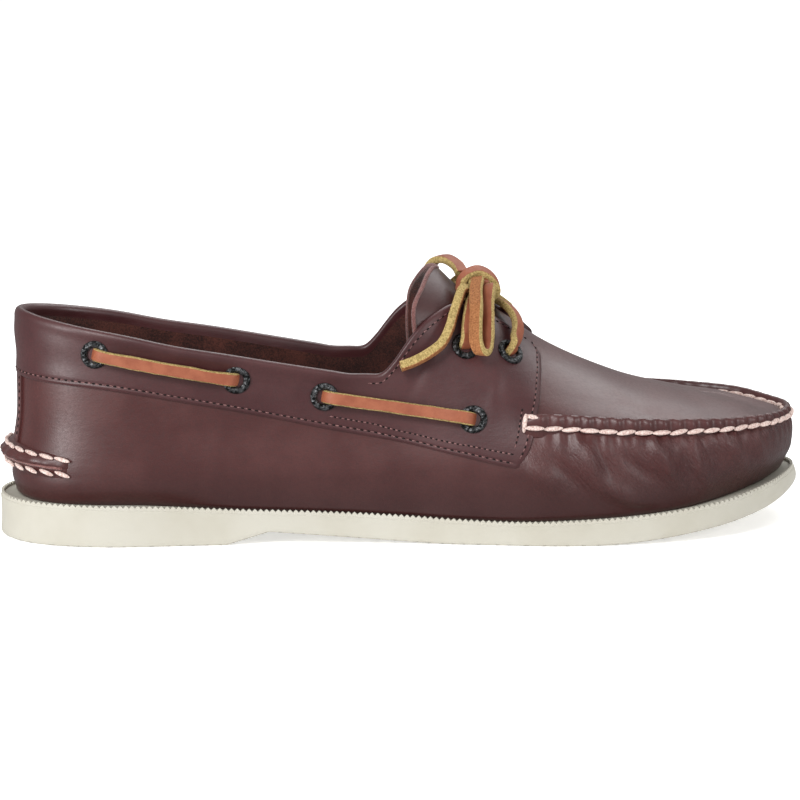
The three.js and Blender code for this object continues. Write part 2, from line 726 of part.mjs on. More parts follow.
// A flat strip of lace along places given by hand. `flat` is the way its broad face looks.
function strip(path, flatAt) {
  const curve = new THREE.CatmullRomCurve3(path);
  const count = 2 * (path.length - 1);
  const frames = steps(0, 1, count).map((share) => {
    const along = curve.getTangent(share);
    const flat = flatAt(share).clone();
    flat.addScaledVector(along, -flat.dot(along)).normalize();
    return { at: curve.getPoint(share), out: along.cross(flat).normalize(), up: flat };
  });
  const [w, h] = [LACE_WIDTH / 2, LACE_THICKNESS / 2];
  const section = [
    [w, -0.6 * h],
    [w, 0.6 * h],
    [0.7 * w, h],
    [-0.7 * w, h],
    [-w, 0.6 * h],
    [-w, -0.6 * h],
    [-0.7 * w, -h],
    [0.7 * w, -h],
  ];
  return sweep(frames, () => section);
}

const seatNamed = (name) => eyeletSeats.find((one) => one.name === name);
const LACE_LIFT = EYELET_RIM + 3 * CLEARANCE + LACE_THICKNESS / 2;

// The side lace shows in two bars on each side, each from one eyelet to the next.
function laceBar(side, from, to) {
  const name = sideOf(side, "outer", "inner");
  const [a, b] = [from, to].map((place) => seatNamed(`${name}_${place}`));
  const path = steps(0, 1, 4).map((share) => {
    const [x, z] = ["x", "z"].map((axis) => mix(a.at[axis], b.at[axis], share));
    const place = locate(x, z, side);
    return seat(place, OVERLAY + LACE_LIFT).at;
  });
  const normals = [a, b].map((one) => one.normal);
  return strip(path, (share) => normals[0].clone().lerp(normals[1], share));
}

// Two strands cross over the tongue, each from a front eyelet to the rear one opposite.
const CROSSING = place(0.599, 0, 0.838);
const LACE_CENTRE = -3.5; // the throat's middle line, across
const RISES = named(
  ["place", "along", "across", "up"],
  [
    ["throat_front", 0.633, 18.3, 0.736],
    ["throat_front", 0.632, 12, 0.778],
    ["throat_front", 0.622, 5, 0.812],
    ["throat_rear", 0.569, 25.8, 0.772],
    ["throat_rear", 0.5745, 20, 0.838],
    ["throat_rear", 0.5842, 10, 0.864],
  ],
);
function risesOf(eyeletOfOne) {
  return RISES.filter((row) => row.place === eyeletOfOne.place).map((row) =>
    place(row.along, LACE_CENTRE + eyeletOfOne.side * row.across, row.up),
  );
}
function strand(from, to, lift) {
  const [a, b] = [seatNamed(from), seatNamed(to)];
  const [start, end] = [a, b].map((one) =>
    one.at.clone().addScaledVector(one.normal, LACE_LIFT + 0.6),
  );
  const top = CROSSING.clone().setZ(CROSSING.z + lift);
  const path = [start, ...risesOf(a), top, ...risesOf(b).reverse(), end];
  const vertical = new THREE.Vector3(0.5, 0, 1).normalize();
  return strip(path, (share) => {
    const near = share < 0.5 ? a : b;
    return near.normal.clone().lerp(vertical, 1 - Math.abs(2 * share - 1));
  });
}
function throatLace() {
  const low = strand("outer_throat_front", "inner_throat_rear", 0);
  const high = strand("inner_throat_front", "outer_throat_rear", 0.9 * LACE_THICKNESS);
  return low.add(high);
}

// The bow, each strip by its route: share of the length, millimetres across, share of the height.
const KNOT = [
  [0.5658, -14.5, 0.899],
  [0.5685, -12.5, 0.923],
  [0.5765, -11.5, 0.945],
  [0.5883, -10.6, 0.956],
  [0.5997, -10.6, 0.942],
  [0.6081, -10.6, 0.913],
  [0.6107, -10.6, 0.884],
];
const LOOP_OUTER = [
  [0.5862, -14.9, 0.928],
  [0.5809, -21.5, 0.895],
  [0.5779, -30, 0.846],
  [0.5755, -34.5, 0.779],
  [0.5745, -38, 0.719],
  [0.5799, -38.7, 0.679],
  [0.5893, -36.7, 0.677],
  [0.5946, -33.7, 0.716],
  [0.597, -29.5, 0.781],
  [0.599, -23, 0.843],
  [0.6017, -18, 0.886],
  [0.6027, -15.5, 0.901],
];
const LOOP_INNER = [
  [0.5718, -2.5, 0.928],
  [0.5678, 2, 0.952],
  [0.5591, 6, 0.969],
  [0.5517, 9, 0.968],
  [0.544, 12.5, 0.952],
  [0.5386, 17, 0.908],
  [0.5389, 22, 0.841],
  [0.5446, 26, 0.785],
  [0.5554, 27.4, 0.777],
  [0.5678, 24.8, 0.825],
  [0.5772, 18, 0.875],
  [0.5839, 10.5, 0.902],
  [0.5866, 6, 0.913],
];
const END_OUTER = [
  [0.5638, -20.6, 0.88],
  [0.5575, -24.6, 0.851],
  [0.551, -27.6, 0.801],
  [0.5446, -31.7, 0.753],
  [0.5342, -34.7, 0.696],
  [0.5181, -36.6, 0.655],
  [0.4993, -37.8, 0.619],
  [0.4826, -38.2, 0.594],
];
const END_INNER = [
  [0.6023, 1.5, 0.907],
  [0.604, 8, 0.898],
  [0.604, 15, 0.859],
  [0.604, 21, 0.804],
  [0.603, 25.5, 0.737],
  [0.6007, 28.5, 0.67],
  [0.599, 30.5, 0.614],
];
// A bow's strip, with its broad face looking the same way all along.
function bowStrip(route, look) {
  const path = route.map((row) => place(...row));
  return strip(path, () => new THREE.Vector3(...look));
}
// The knot and the loops turn in a plane, and their broad faces look out of the turn.
function turnedStrip(route, axis) {
  const path = route.map((row) => place(...row));
  const curve = new THREE.CatmullRomCurve3(path);
  const turn = new THREE.Vector3(...axis).normalize();
  return strip(path, (share) => turn.clone().cross(curve.getTangent(share)));
}

const shoe = new THREE.Group();
function addMesh(name, geometry, look) {
  const mesh = new THREE.Mesh(geometry, new THREE.MeshStandardMaterial(look));
  mesh.name = name;
  shoe.add(mesh);
}
addMesh("outsole", geometryOf(outsole()), RUBBER);
addMesh("insole", geometryOf(insole()), SUEDE);
addMesh("upper", geometryOf(upper()), LEATHER);
addMesh("tongue", geometryOf(tongue()), LEATHER);
for (const one of eyeletSeats) addMesh(`eyelet_${one.name}`, eyelet(one), METAL);
for (const side of SIDES) {
  const name = sideOf(side, "outer", "inner");
  addMesh(`lace_${name}_heel`, geometryOf(laceBar(side, "heel_rear", "heel_front")), RAWHIDE);
  addMesh(`lace_${name}_waist`, geometryOf(laceBar(side, "waist_rear", "waist_front")), RAWHIDE);
}
addMesh("lace_throat", geometryOf(throatLace()), RAWHIDE);
addMesh("lace_knot", geometryOf(turnedStrip(KNOT, [0, 1, 0])), RAWHIDE);
addMesh("lace_loop_outer", geometryOf(turnedStrip(LOOP_OUTER, [0.77, -0.64, 0])), RAWHIDE);
addMesh("lace_loop_inner", geometryOf(turnedStrip(LOOP_INNER, [0.77, 0.64, 0])), RAWHIDE);
addMesh("lace_end_outer", geometryOf(turnedStrip(END_OUTER, [0.25, 1, 0.2])), RAWHIDE);
addMesh("lace_end_inner", geometryOf(bowStrip(END_INNER, [0, 0.8, 0.6])), RAWHIDE);

// The origin goes under the middle of everything but the bow.
const bow = /knot|loop|end/;
const whole = new THREE.Box3();
for (const mesh of shoe.children) if (!bow.test(mesh.name)) whole.expandByObject(mesh);
const middle = whole.getCenter(new THREE.Vector3());
shoe.position.set(-middle.x, -middle.y, 0);

export default shoe;
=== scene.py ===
import math

import bpy
import numpy as np
from mathutils import Matrix, Vector


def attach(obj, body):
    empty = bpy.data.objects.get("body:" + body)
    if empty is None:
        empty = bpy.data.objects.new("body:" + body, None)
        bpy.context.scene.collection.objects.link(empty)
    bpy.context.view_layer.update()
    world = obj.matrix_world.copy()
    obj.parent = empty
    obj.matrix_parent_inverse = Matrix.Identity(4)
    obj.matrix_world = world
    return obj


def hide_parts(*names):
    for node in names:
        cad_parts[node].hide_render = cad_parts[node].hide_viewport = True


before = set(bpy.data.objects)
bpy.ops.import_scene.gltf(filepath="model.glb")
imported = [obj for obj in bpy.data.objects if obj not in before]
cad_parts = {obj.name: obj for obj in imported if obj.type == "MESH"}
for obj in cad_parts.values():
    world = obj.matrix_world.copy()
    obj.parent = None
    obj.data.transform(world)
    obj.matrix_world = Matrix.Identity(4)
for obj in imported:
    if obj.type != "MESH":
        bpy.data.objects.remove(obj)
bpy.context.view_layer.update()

# A boat shoe for the right foot. Metres; +X to the toe, +Y to the inner side, +Z up.
MM = 0.001

# The last and the sole, as in the solids.
LENGTH = 0.298
BALL_WIDTH = 0.102
LAST_HEIGHT = 0.09
SOLE_HEIGHT = 0.0158
WAIST_RISE = 0.0046
TOE_SPRING = 0.007
LEDGE = 0.003
CLEARANCE = 0.3 * MM
SHIFT = np.array([-0.0685, 1.7974, 0.0]) * MM

# Leather.
WALL = 1.9 * MM
OVERLAY = 1.1 * MM
STRIP = 0.8 * MM
COLLAR_ROLL = 2.1 * MM
TONGUE_DROP = WALL + 2 * CLEARANCE
RIDGE_DEPTH = 2.4 * MM
PUCKER = 5.6 * MM

# Lace.
LACE_WIDTH = 4.8 * MM
LACE_THICKNESS = 2.6 * MM
LACE_INSIDE = 1.9 * MM  # how far a lace runs in behind its eyelet
PATH_STEP = 0.5 * MM

# Levels up the last's side: the moccasin seam and the crown.
SEAM, CROWN = 2, 5
OUTER, INNER = -1, 1
SIDES = (OUTER, INNER)


def x_of(along):
    return (np.asarray(along) - 0.5) * LENGTH


def along_of(x):
    return np.asarray(x) / LENGTH + 0.5


def smooth(value, low, high):
    """0 below low, 1 above high, and a smooth step between."""
    t = np.clip((np.asarray(value) - low) / (high - low), 0, 1)
    return t * t * (3 - 2 * t)


class Curve:
    """A smooth curve through (x, y) pairs."""

    def __init__(self, pairs):
        self.x, self.y = np.array(pairs, float).T
        before = np.maximum(np.arange(len(self.x)) - 1, 0)
        after = np.minimum(np.arange(len(self.x)) + 1, len(self.x) - 1)
        self.slope = (self.y[after] - self.y[before]) / (self.x[after] - self.x[before])

    def __call__(self, x):
        x = np.asarray(x, float)
        i = np.clip(np.searchsorted(self.x, x, side="right") - 1, 0, len(self.x) - 2)
        span = self.x[i + 1] - self.x[i]
        s = np.clip((x - self.x[i]) / span, 0, 1)
        rise = self.y[i + 1] - self.y[i]
        m0, m1 = self.slope[i] * span, self.slope[i + 1] * span
        return self.y[i] + s * (m0 + s * (3 * rise - 2 * m0 - m1 + s * (m0 + m1 - 2 * rise)))


SOLE_TOP = Curve([
    (0, 1), (0.08, 1), (0.18, 0.965), (0.28, 0.865), (0.38, 0.79), (0.48, 0.7), (0.55, 0.62),
    (0.62, 0.585), (0.7, 0.63), (0.79, 0.73), (0.88, 0.9), (0.94, 1.08), (1, 1.25),
])
HEEL_FRONT, WAIST_START, BALL_START, SPRING_START = 0.27, 0.322, 0.55, 0.7


def sole_top(x):
    return SOLE_HEIGHT * SOLE_TOP(along_of(x))


def sole_bottom(x):
    along = along_of(x)
    breast = WAIST_RISE * np.clip((along - HEEL_FRONT) / (WAIST_START - HEEL_FRONT), 0, 1)
    fall = np.clip((BALL_START - along) / (BALL_START - WAIST_START), 0, 1)
    spring = np.clip((along - SPRING_START) / (1 - SPRING_START), 0, 1)
    return np.minimum(breast, WAIST_RISE * fall**1.3) + TOE_SPRING * spring**2.2


# One row for each section of the last, heel to toe.
LAST_COLUMNS = (
    "along outer inner crown_along crown_across feather bulge seam seam_up cheek cheek_up"
    " brow brow_up crown_up ledge_outer ledge_inner"
).split()
LAST = [
    (0.0155, 0, 0, 0.124, 0, 0.11, 0.1, 0.075, 0.31, 0.085, 0.54, 0.15, 0.76, 0.93, 1.5, 1.5),
    (0.04, -0.2, 0.195, 0.13, 0, 0.11, 0.1, 0.08, 0.31, 0.13, 0.54, 0.24, 0.75, 0.93, 1.1, 1.1),
    (0.118, -0.318, 0.308, 0.155, 0, 0.13, 0.1, 0.06, 0.31, 0.14, 0.53, 0.26, 0.75, 0.95, 0.5, 0.5),
    (0.25, -0.335, 0.31, 0.25, 0, 0.14, 0.12, 0.05, 0.32, 0.09, 0.51, 0.17, 0.73, 1, 0.2, 0),
    (0.385, -0.35, 0.29, 0.385, 0, 0.13, 0.14, 0.05, 0.33, 0.09, 0.5, 0.15, 0.73, 1.03, 0.1, -0.7),
    (0.48, -0.378, 0.3, 0.48, -0.005, 0.12, 0.16, 0.06, 0.34, 0.13, 0.56, 0.29, 0.84, 1.05, 0.2, -0.6),
    (0.574, -0.428, 0.345, 0.574, -0.02, 0.12, 0.18, 0.07, 0.375, 0.25, 0.61, 0.6, 0.82, 0.89, 0.3, 0),
    (0.669, -0.482, 0.412, 0.669, -0.015, 0.12, 0.18, 0.09, 0.355, 0.36, 0.49, 0.68, 0.605, 0.655, 0.4, 0.3),
    (0.77, -0.485, 0.456, 0.763, 0, 0.12, 0.17, 0.09, 0.315, 0.4, 0.41, 0.7, 0.468, 0.492, 0.5, 0.4),
    (0.865, -0.41, 0.44, 0.83, 0.02, 0.13, 0.15, 0.08, 0.275, 0.4, 0.34, 0.7, 0.378, 0.396, 0.7, 0.5),
    (0.938, -0.262, 0.365, 0.866, 0.04, 0.14, 0.115, 0.07, 0.23, 0.4, 0.285, 0.7, 0.315, 0.33, 0.8, 0.7),
    (0.9775, -0.078, 0.218, 0.882, 0.054, 0.16, 0.095, 0.06, 0.2, 0.4, 0.252, 0.7, 0.281, 0.297, 0.9, 0.8),
    (0.991, 0.069, 0.069, 0.889, 0.059, 0.17, 0.09, 0.06, 0.195, 0.4, 0.248, 0.7, 0.275, 0.29, 0.9, 0.9),
]
TOE = len(LAST) - 1
AROUND = 2 * TOE  # places round the shoe: 0 heel, up the inner side to TOE, back down the outer


def ring_of(outer, inner=None):
    """A column of LAST, once round the shoe."""
    rows = [dict(zip(LAST_COLUMNS, row)) for row in LAST]
    inner = inner or outer
    going = [row[inner] for row in rows]
    coming = [row[outer] for row in rows[-2:0:-1]]
    return np.array(going + coming, float)


RINGS = {name: ring_of(name) for name in LAST_COLUMNS if name not in ("outer", "inner")}
RINGS["across"] = ring_of("outer", "inner")
RINGS["ledge"] = ring_of("ledge_outer", "ledge_inner")


def catmull(p0, p1, p2, p3, s):
    a = 2 * p0 - 5 * p1 + 4 * p2 - p3
    b = 3 * p1 - p0 - 3 * p2 + p3
    return p1 + (s / 2) * (p2 - p0 + s * (a + s * b))


def column(name, w):
    """A column's value at place w round the shoe: w is the row, negative on the outer side."""
    w = np.mod(np.asarray(w, float), AROUND)
    i = np.floor(w).astype(int)
    ring = RINGS[name]
    near = [ring[(i + k) % AROUND] for k in (-1, 0, 1, 2)]
    return catmull(*near, w - i)


def outline(w):
    return np.stack([x_of(column("along", w)), BALL_WIDTH * column("across", w)], -1)


def unit(vector):
    return vector / np.maximum(np.linalg.norm(vector, axis=-1, keepdims=True), 1e-12)


def outline_normal(w):
    """Square to the outline in plan, away from the shoe."""
    ahead = outline(np.asarray(w) + 0.02) - outline(np.asarray(w) - 0.02)
    return unit(np.stack([-ahead[..., 1], ahead[..., 0]], -1))


def outward(w):
    """The same with a height of 0."""
    return np.concatenate([outline_normal(w), np.zeros((len(w), 1))], 1)


def last_point(w, level):
    """A point of the last, in the solids' own place before the shift."""
    w, level = np.broadcast_arrays(np.asarray(w, float), np.asarray(level, float))
    edge = outline(w)
    crown = np.stack(
        [x_of(column("crown_along", w)), BALL_WIDTH * column("crown_across", w)], -1
    )
    zero = np.zeros_like(w)
    inward = [column("feather", w), zero, column("seam", w), column("cheek", w), column("brow", w)]
    heights = ("bulge", "seam_up", "cheek_up", "brow_up", "crown_up")
    upward = [zero] + [column(name, w) for name in heights]
    inward = [2 * inward[0] - inward[1]] + inward + [zero + 1, 2 - inward[4]]
    upward = [2 * upward[0] - upward[1]] + upward + [upward[4]]
    inward, upward = np.stack(inward), np.stack(upward)
    i = np.clip(np.floor(level).astype(int), 0, CROWN - 1)

    def at(table):
        near = [np.take_along_axis(table, (i + k)[None], 0)[0] for k in range(4)]
        return catmull(*near, level - i)

    plan = edge + (crown - edge) * at(inward)[..., None]
    base = sole_top(edge[..., 0])
    lift = (1 - np.clip(level, 0, 1)) * (sole_top(plan[..., 0]) - base)
    z = base + LAST_HEIGHT * at(upward) + lift + CLEARANCE
    return np.concatenate([plan, z[..., None]], -1)


def last_normal(w, level):
    w, level = np.broadcast_arrays(np.asarray(w, float), np.asarray(level, float))
    step = 0.03
    high = np.minimum(level + step, CROWN)
    up = last_point(w, high) - last_point(w, high - 2 * step)
    along = last_point(w + step, level) - last_point(w - step, level)
    normal = unit(np.cross(up, along))
    ahead = last_point(w + step * np.sign(w), level) - last_point(w - step * np.sign(w), level)
    top = unit(np.stack([-ahead[..., 2], 0 * w, ahead[..., 0]], -1))
    share = smooth(level, CROWN - 0.12, CROWN)[..., None]
    return unit(normal * (1 - share) + top * share)


def on_last(w, level, out=0.0):
    """A point that stands `out` off the last."""
    out = np.asarray(out, float)
    return last_point(w, level) + last_normal(w, level) * out[..., None] + SHIFT


def bisect(f, low, high, steps=22):
    low, high = np.broadcast_arrays(np.asarray(low, float), np.asarray(high, float))
    low, high = low.copy(), high.copy()
    for _ in range(steps):
        middle = (low + high) / 2
        under = f(middle) < 0
        low, high = np.where(under, middle, low), np.where(under, high, middle)
    return (low + high) / 2


def level_where(w, height_at, low=0.5, high=float(CROWN)):
    """The level at which the section at w reaches a side view line."""

    def over(level):
        point = last_point(w, level)
        return point[..., 2] - height_at(point[..., 0])

    return bisect(over, np.full(np.shape(w), low), np.full(np.shape(w), high))


def locate(x, z, side):
    """The place on the last whose side view is (x, z)."""
    row, level = np.full(np.shape(x), TOE / 2), np.full(np.shape(x), 2.5)
    for _ in range(12):
        level = bisect(
            lambda v: last_point(side * row, v)[..., 2] - z, 0.5 + 0 * x, CROWN + 0 * x, 16
        )
        row = bisect(lambda r: last_point(side * r, level)[..., 0] - x, 0 * x, TOE + 0 * x, 16)
    return side * row, level


def height_of(x, up):
    """The height at x that is a share of the last's height above the sole."""
    return sole_top(x) + CLEARANCE + LAST_HEIGHT * up


def side_line(table):
    """A side view table of shares, as a height over x."""
    along, up = np.array(table, float).T
    x = x_of(along)
    return Curve(list(zip(x, height_of(x, up))))


TOPLINE = side_line([
    (-0.02, 0.75), (0.025, 0.745), (0.05, 0.73), (0.09, 0.707), (0.15, 0.675), (0.21, 0.64),
    (0.275, 0.617), (0.335, 0.59), (0.4, 0.562), (0.44, 0.546), (0.46, 0.55), (0.474, 0.595),
    (0.488, 0.66), (0.5, 0.712), (0.515, 0.76), (0.53, 0.795), (0.545, 0.82), (0.558, 0.83),
    (0.58, 0.86), (0.7, 1.2),
])
BAND_EDGE = side_line([
    (-0.02, 0.485), (0.02, 0.483), (0.12, 0.463), (0.2, 0.428), (0.3, 0.385), (0.4, 0.33),
    (0.48, 0.295), (0.54, 0.262), (0.6, 0.226), (0.627, 0.21), (0.66, 0.2),
])
COLLAR_CORNER = float(x_of(0.452))
THROAT_REAR, TOPLINE_FRONT = float(x_of(0.545)), float(x_of(0.56))
EYESTAY_FRONT = [
    (0.6195, 0.2), (0.6275, 0.235), (0.6355, 0.28), (0.641, 0.33), (0.646, 0.4), (0.6525, 0.465),
    (0.657, 0.525), (0.6605, 0.58), (0.6585, 0.635), (0.65, 0.682), (0.635, 0.71),
]
THROAT_HALF = Curve([
    (-0.15, 0.9), (float(x_of(0.5)), 0.26), (float(x_of(0.53)), 0.2), (float(x_of(0.56)), 0.165),
    (float(x_of(0.6)), 0.145), (float(x_of(0.63)), 0.122), (float(x_of(0.66)), 0.1),
])
THROAT_CENTRE = -0.02 * BALL_WIDTH


def place(along, across, up):
    """A point given by its share of the length, millimetres across and share of the height."""
    x = float(x_of(along))
    return np.array([x, across * MM, float(height_of(x, up))]) + SHIFT


# Shaping
def deselect():
    bpy.ops.object.select_all(action="DESELECT")


def pick(piece):
    """Selects this piece alone."""
    deselect()
    piece.select_set(True)
    bpy.context.view_layer.objects.active = piece


def named(piece, name):
    piece.name = name
    piece.data.name = name
    return piece


def sheet(name, points, turned=False):
    """A grid laid over points[i][j]; its faces look to i x j, or away from it if turned."""
    rows, columns = points.shape[:2]
    if turned:
        points = points[::-1]
    deselect()
    bpy.ops.mesh.primitive_grid_add(x_subdivisions=rows - 1, y_subdivisions=columns - 1, size=1)
    piece = named(bpy.context.object, name)
    places = np.ascontiguousarray(np.swapaxes(points, 0, 1)).reshape(-1)
    piece.data.vertices.foreach_set("co", places)
    piece.data.update()
    return piece


def weld(piece, distance=2e-5):
    """Merges what meets, as at a pole or where a ring closes."""
    pick(piece)
    bpy.ops.object.mode_set(mode="EDIT")
    bpy.ops.mesh.select_all(action="SELECT")
    bpy.ops.mesh.remove_doubles(threshold=distance)
    bpy.ops.mesh.dissolve_degenerate(threshold=1e-7)
    bpy.ops.object.mode_set(mode="OBJECT")
    return piece


def finish(piece, material, replaced=(), angle=35):
    """Shades a piece, gives it its material or materials, hangs it under the root, and hides the parts it
    replaces.
    """
    pick(piece)
    bpy.ops.object.shade_smooth_by_angle(angle=math.radians(angle))
    for one in material if isinstance(material, tuple) else (material,):
        piece.data.materials.append(one)
    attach(piece, "root")
    if replaced:
        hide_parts(*replaced)
    return piece


def capped(rings, ends):
    """A row of rings, closed to a point at each end."""
    lids = [np.repeat(end[None, None], rings.shape[1], 1) for end in ends]
    return np.concatenate([lids[0], rings, lids[1]])


def run_along(points):
    """How far along a path each of its points lies."""
    return np.concatenate([[0], np.cumsum(np.linalg.norm(np.diff(points, axis=0), axis=1))])


def even_path(points, spacing):
    """Points every `spacing` along a path."""
    points = np.asarray(points, float)
    run = run_along(points)
    count = max(2, int(round(run[-1] / spacing)) + 1)
    at = np.linspace(0, run[-1], count)
    return np.stack([np.interp(at, run, points[:, k]) for k in range(3)], 1)


def smooth_path(points):
    """An even path on the smooth curve through a few points."""
    p = np.asarray(points, float)
    p = np.vstack([2 * p[0] - p[1], p, 2 * p[-1] - p[-2]])
    fine = []
    for i in range(1, len(p) - 2):
        for s in np.linspace(0, 1, 16, endpoint=False):
            fine.append(catmull(p[i - 1], p[i], p[i + 1], p[i + 2], s))
    fine.append(p[-2])
    return even_path(fine, PATH_STEP)


def wobble(values, seed, scale):
    """Smooth noise of about -1 to 1 along a line."""
    rng = np.random.default_rng(seed)
    values = np.asarray(values, float) / scale
    total = np.zeros_like(values)
    for size in (1.0, 0.47, 0.21):
        knots = rng.uniform(-1, 1, 4096)
        at = values / size + 1000
        i = np.floor(at).astype(int)
        s = at - i
        s = s * s * (3 - 2 * s)
        total += size * (knots[i % 4096] * (1 - s) + knots[(i + 1) % 4096] * s)
    return total / 1.3


def bumps(points, spots):
    """Soft ridges and troughs: each spot is (x, z, along, across, slant in degrees, height)."""
    x, z = points[..., 0], points[..., 2]
    total = np.zeros_like(x)
    for at_x, at_z, long, wide, slant, height in spots:
        turn = math.radians(slant)
        dx, dz = x - at_x * MM, z - at_z * MM
        run = dx * math.cos(turn) + dz * math.sin(turn)
        off = dz * math.cos(turn) - dx * math.sin(turn)
        total += height * MM * np.exp(-((run / (long * MM)) ** 2) - (off / (wide * MM)) ** 2)
    return total


def swell(distance, height, width):
    """A soft rise of some millimetres that dies away with the distance."""
    return height * MM * np.exp(-((distance / (width * MM)) ** 2))


# Materials
INPUTS = {"i0": 0, "i1": 1, "i2": 2}  # sockets that are told by their number


class Surface:
    """A material's nodes, with one method that adds any of them."""

    def __init__(self, name):
        self.material = bpy.data.materials.new(name)
        self.material.use_nodes = True
        self.tree = self.material.node_tree
        self.shader = self.tree.nodes["Principled BSDF"]

    def node(self, kind, settings=None, **inputs):
        node = self.tree.nodes.new(kind)
        for key, value in (settings or {}).items():
            setattr(node, key, value)
        for key, value in inputs.items():
            self.feed(node.inputs[INPUTS.get(key, key)], value)
        return node

    def feed(self, socket, value):
        if isinstance(value, Value):
            self.tree.links.new(value.socket, socket)
        else:
            socket.default_value = value

    def value(self, kind, settings=None, output=0, **inputs):
        return Value(self, self.node(kind, settings, **inputs).outputs[output])

    def place(self):
        return self.value("ShaderNodeTexCoord", output="Object")

    def strip(self):
        return self.value("ShaderNodeTexCoord", output="UV")

    def part(self, vector, axis):
        node = self.node("ShaderNodeSeparateXYZ", Vector=vector)
        return Value(self, node.outputs[axis])

    def stretch(self, vector, scale):
        settings = {"operation": "MULTIPLY"}
        return self.value("ShaderNodeVectorMath", settings, i0=vector, i1=scale)

    def noise(self, vector, scale, detail, rough):
        return self.value(
            "ShaderNodeTexNoise", output="Fac",
            Vector=vector, Scale=scale, Detail=detail, Roughness=rough,
        )

    def cells(self, vector, scale):
        return self.value("ShaderNodeTexVoronoi", output="Distance", Vector=vector, Scale=scale)

    def mix(self, factor, a, b):
        node = self.node("ShaderNodeMix", {"data_type": "RGBA"})
        self.feed(node.inputs[0], factor)
        self.feed(node.inputs[6], a)
        self.feed(node.inputs[7], b)
        return Value(self, node.outputs[2])

    def range(self, value, low, high):
        """0 where the value is below low, 1 above high, and a smooth step between."""
        settings = {"interpolation_type": "SMOOTHSTEP"}
        return self.value("ShaderNodeMapRange", settings, Value=value, i1=low, i2=high)

    def bump(self, height, strength, distance, under=None):
        inputs = {"Height": height, "Strength": strength, "Distance": distance}
        if under is not None:
            inputs["Normal"] = under
        return self.value("ShaderNodeBump", **inputs)

    def dress(self, **sockets):
        for key, value in sockets.items():
            self.feed(self.shader.inputs[key.replace("_", " ")], value)
        return self.material


class Value:
    """Something that varies over a surface, with arithmetic."""

    def __init__(self, surface, socket):
        self.surface = surface
        self.socket = socket

    def math(self, operation, a, b):
        settings = {"operation": operation}
        return self.surface.value("ShaderNodeMath", settings, i0=a, i1=b)

    def __add__(self, other):
        return self.math("ADD", self, other)

    def __radd__(self, other):
        return self.math("ADD", other, self)

    def __sub__(self, other):
        return self.math("SUBTRACT", self, other)

    def __rsub__(self, other):
        return self.math("SUBTRACT", other, self)

    def __mul__(self, other):
        return self.math("MULTIPLY", self, other)

    def __rmul__(self, other):
        return self.math("MULTIPLY", other, self)


def colour(red, green, blue):
    """A colour given as on a screen, 0 to 255."""
    def straight(value):
        value = value / 255
        return value / 12.92 if value <= 0.04045 else ((value + 0.055) / 1.055) ** 2.4

    return (straight(red), straight(green), straight(blue), 1)


def leather(name, base, worn, dark, wrinkles_and_tongue_shade=False):
    """Smooth oiled leather: soft clouds, fine grain, and painted shade darker down by the sole.
    Its last flag also creases it low on the forefoot's side and adds painted shade darker up on the tongue."""
    s = Surface(name)
    at = s.place()
    clouds = s.range(s.noise(at, 38.0, 4.0, 0.6), 0.36, 0.66)
    specks = s.range(s.noise(at, 900.0, 3.0, 0.6), 0.4, 0.7)
    body = s.mix(clouds * 0.75, base, worn)
    body = s.mix(specks * 0.22, body, dark)
    # Painted shade: the leather is darker down towards the sole.
    low = 1 - s.range(s.part(at, 2), 0.009, 0.034)
    body = s.mix(low * 0.55, body, dark)
    pores = s.cells(at, 1500.0)
    grain = s.noise(at, 2400.0, 4.0, 0.6)
    creases = s.noise(s.stretch(at, (1.0, 1.0, 2.6)), 260.0, 5.0, 0.62)
    normal = s.bump(pores * 0.35 + grain * 0.4, 0.22, 0.0002)
    if wrinkles_and_tongue_shade:
        x, z = s.part(at, 0), s.part(at, 2)
        here = s.range(x, 0.03, 0.05) * (1 - s.range(z, 0.034, 0.041)) * s.range(z, 0.012, 0.024)
        turned = s.value("ShaderNodeMapping", output="Vector", Vector=at, Rotation=(0, 0.55, 0))
        fine = s.noise(s.stretch(turned, (1.6, 1.6, 0.35)), 420.0, 4.0, 0.65)
        normal = s.bump(fine * here, 1.0, 0.001, normal)
        # Painted shade: darker high up, where the tongue lies.
        body = s.mix(s.range(z, 0.066, 0.084) * 0.5, body, dark)
    normal = s.bump(creases, 0.1, 0.0008, normal)
    rough = 0.36 + clouds * 0.1 + specks * 0.08
    return s.dress(
        Base_Color=body, Roughness=rough, Normal=normal, Specular_IOR_Level=0.52,
        Coat_Weight=0.24, Coat_Roughness=0.36,
    )


def suede(name, base, dark):
    s = Surface(name)
    at = s.place()
    nap = s.noise(at, 1700.0, 5.0, 0.7)
    cloud = s.noise(at, 120.0, 4.0, 0.6)
    body = s.mix(s.range(nap * 0.6 + cloud * 0.4, 0.36, 0.64), dark, base)
    normal = s.bump(nap, 0.8, 0.0005)
    return s.dress(
        Base_Color=body, Roughness=0.96, Normal=normal, Specular_IOR_Level=0.15,
        Sheen_Weight=0.25, Sheen_Roughness=0.5,
    )


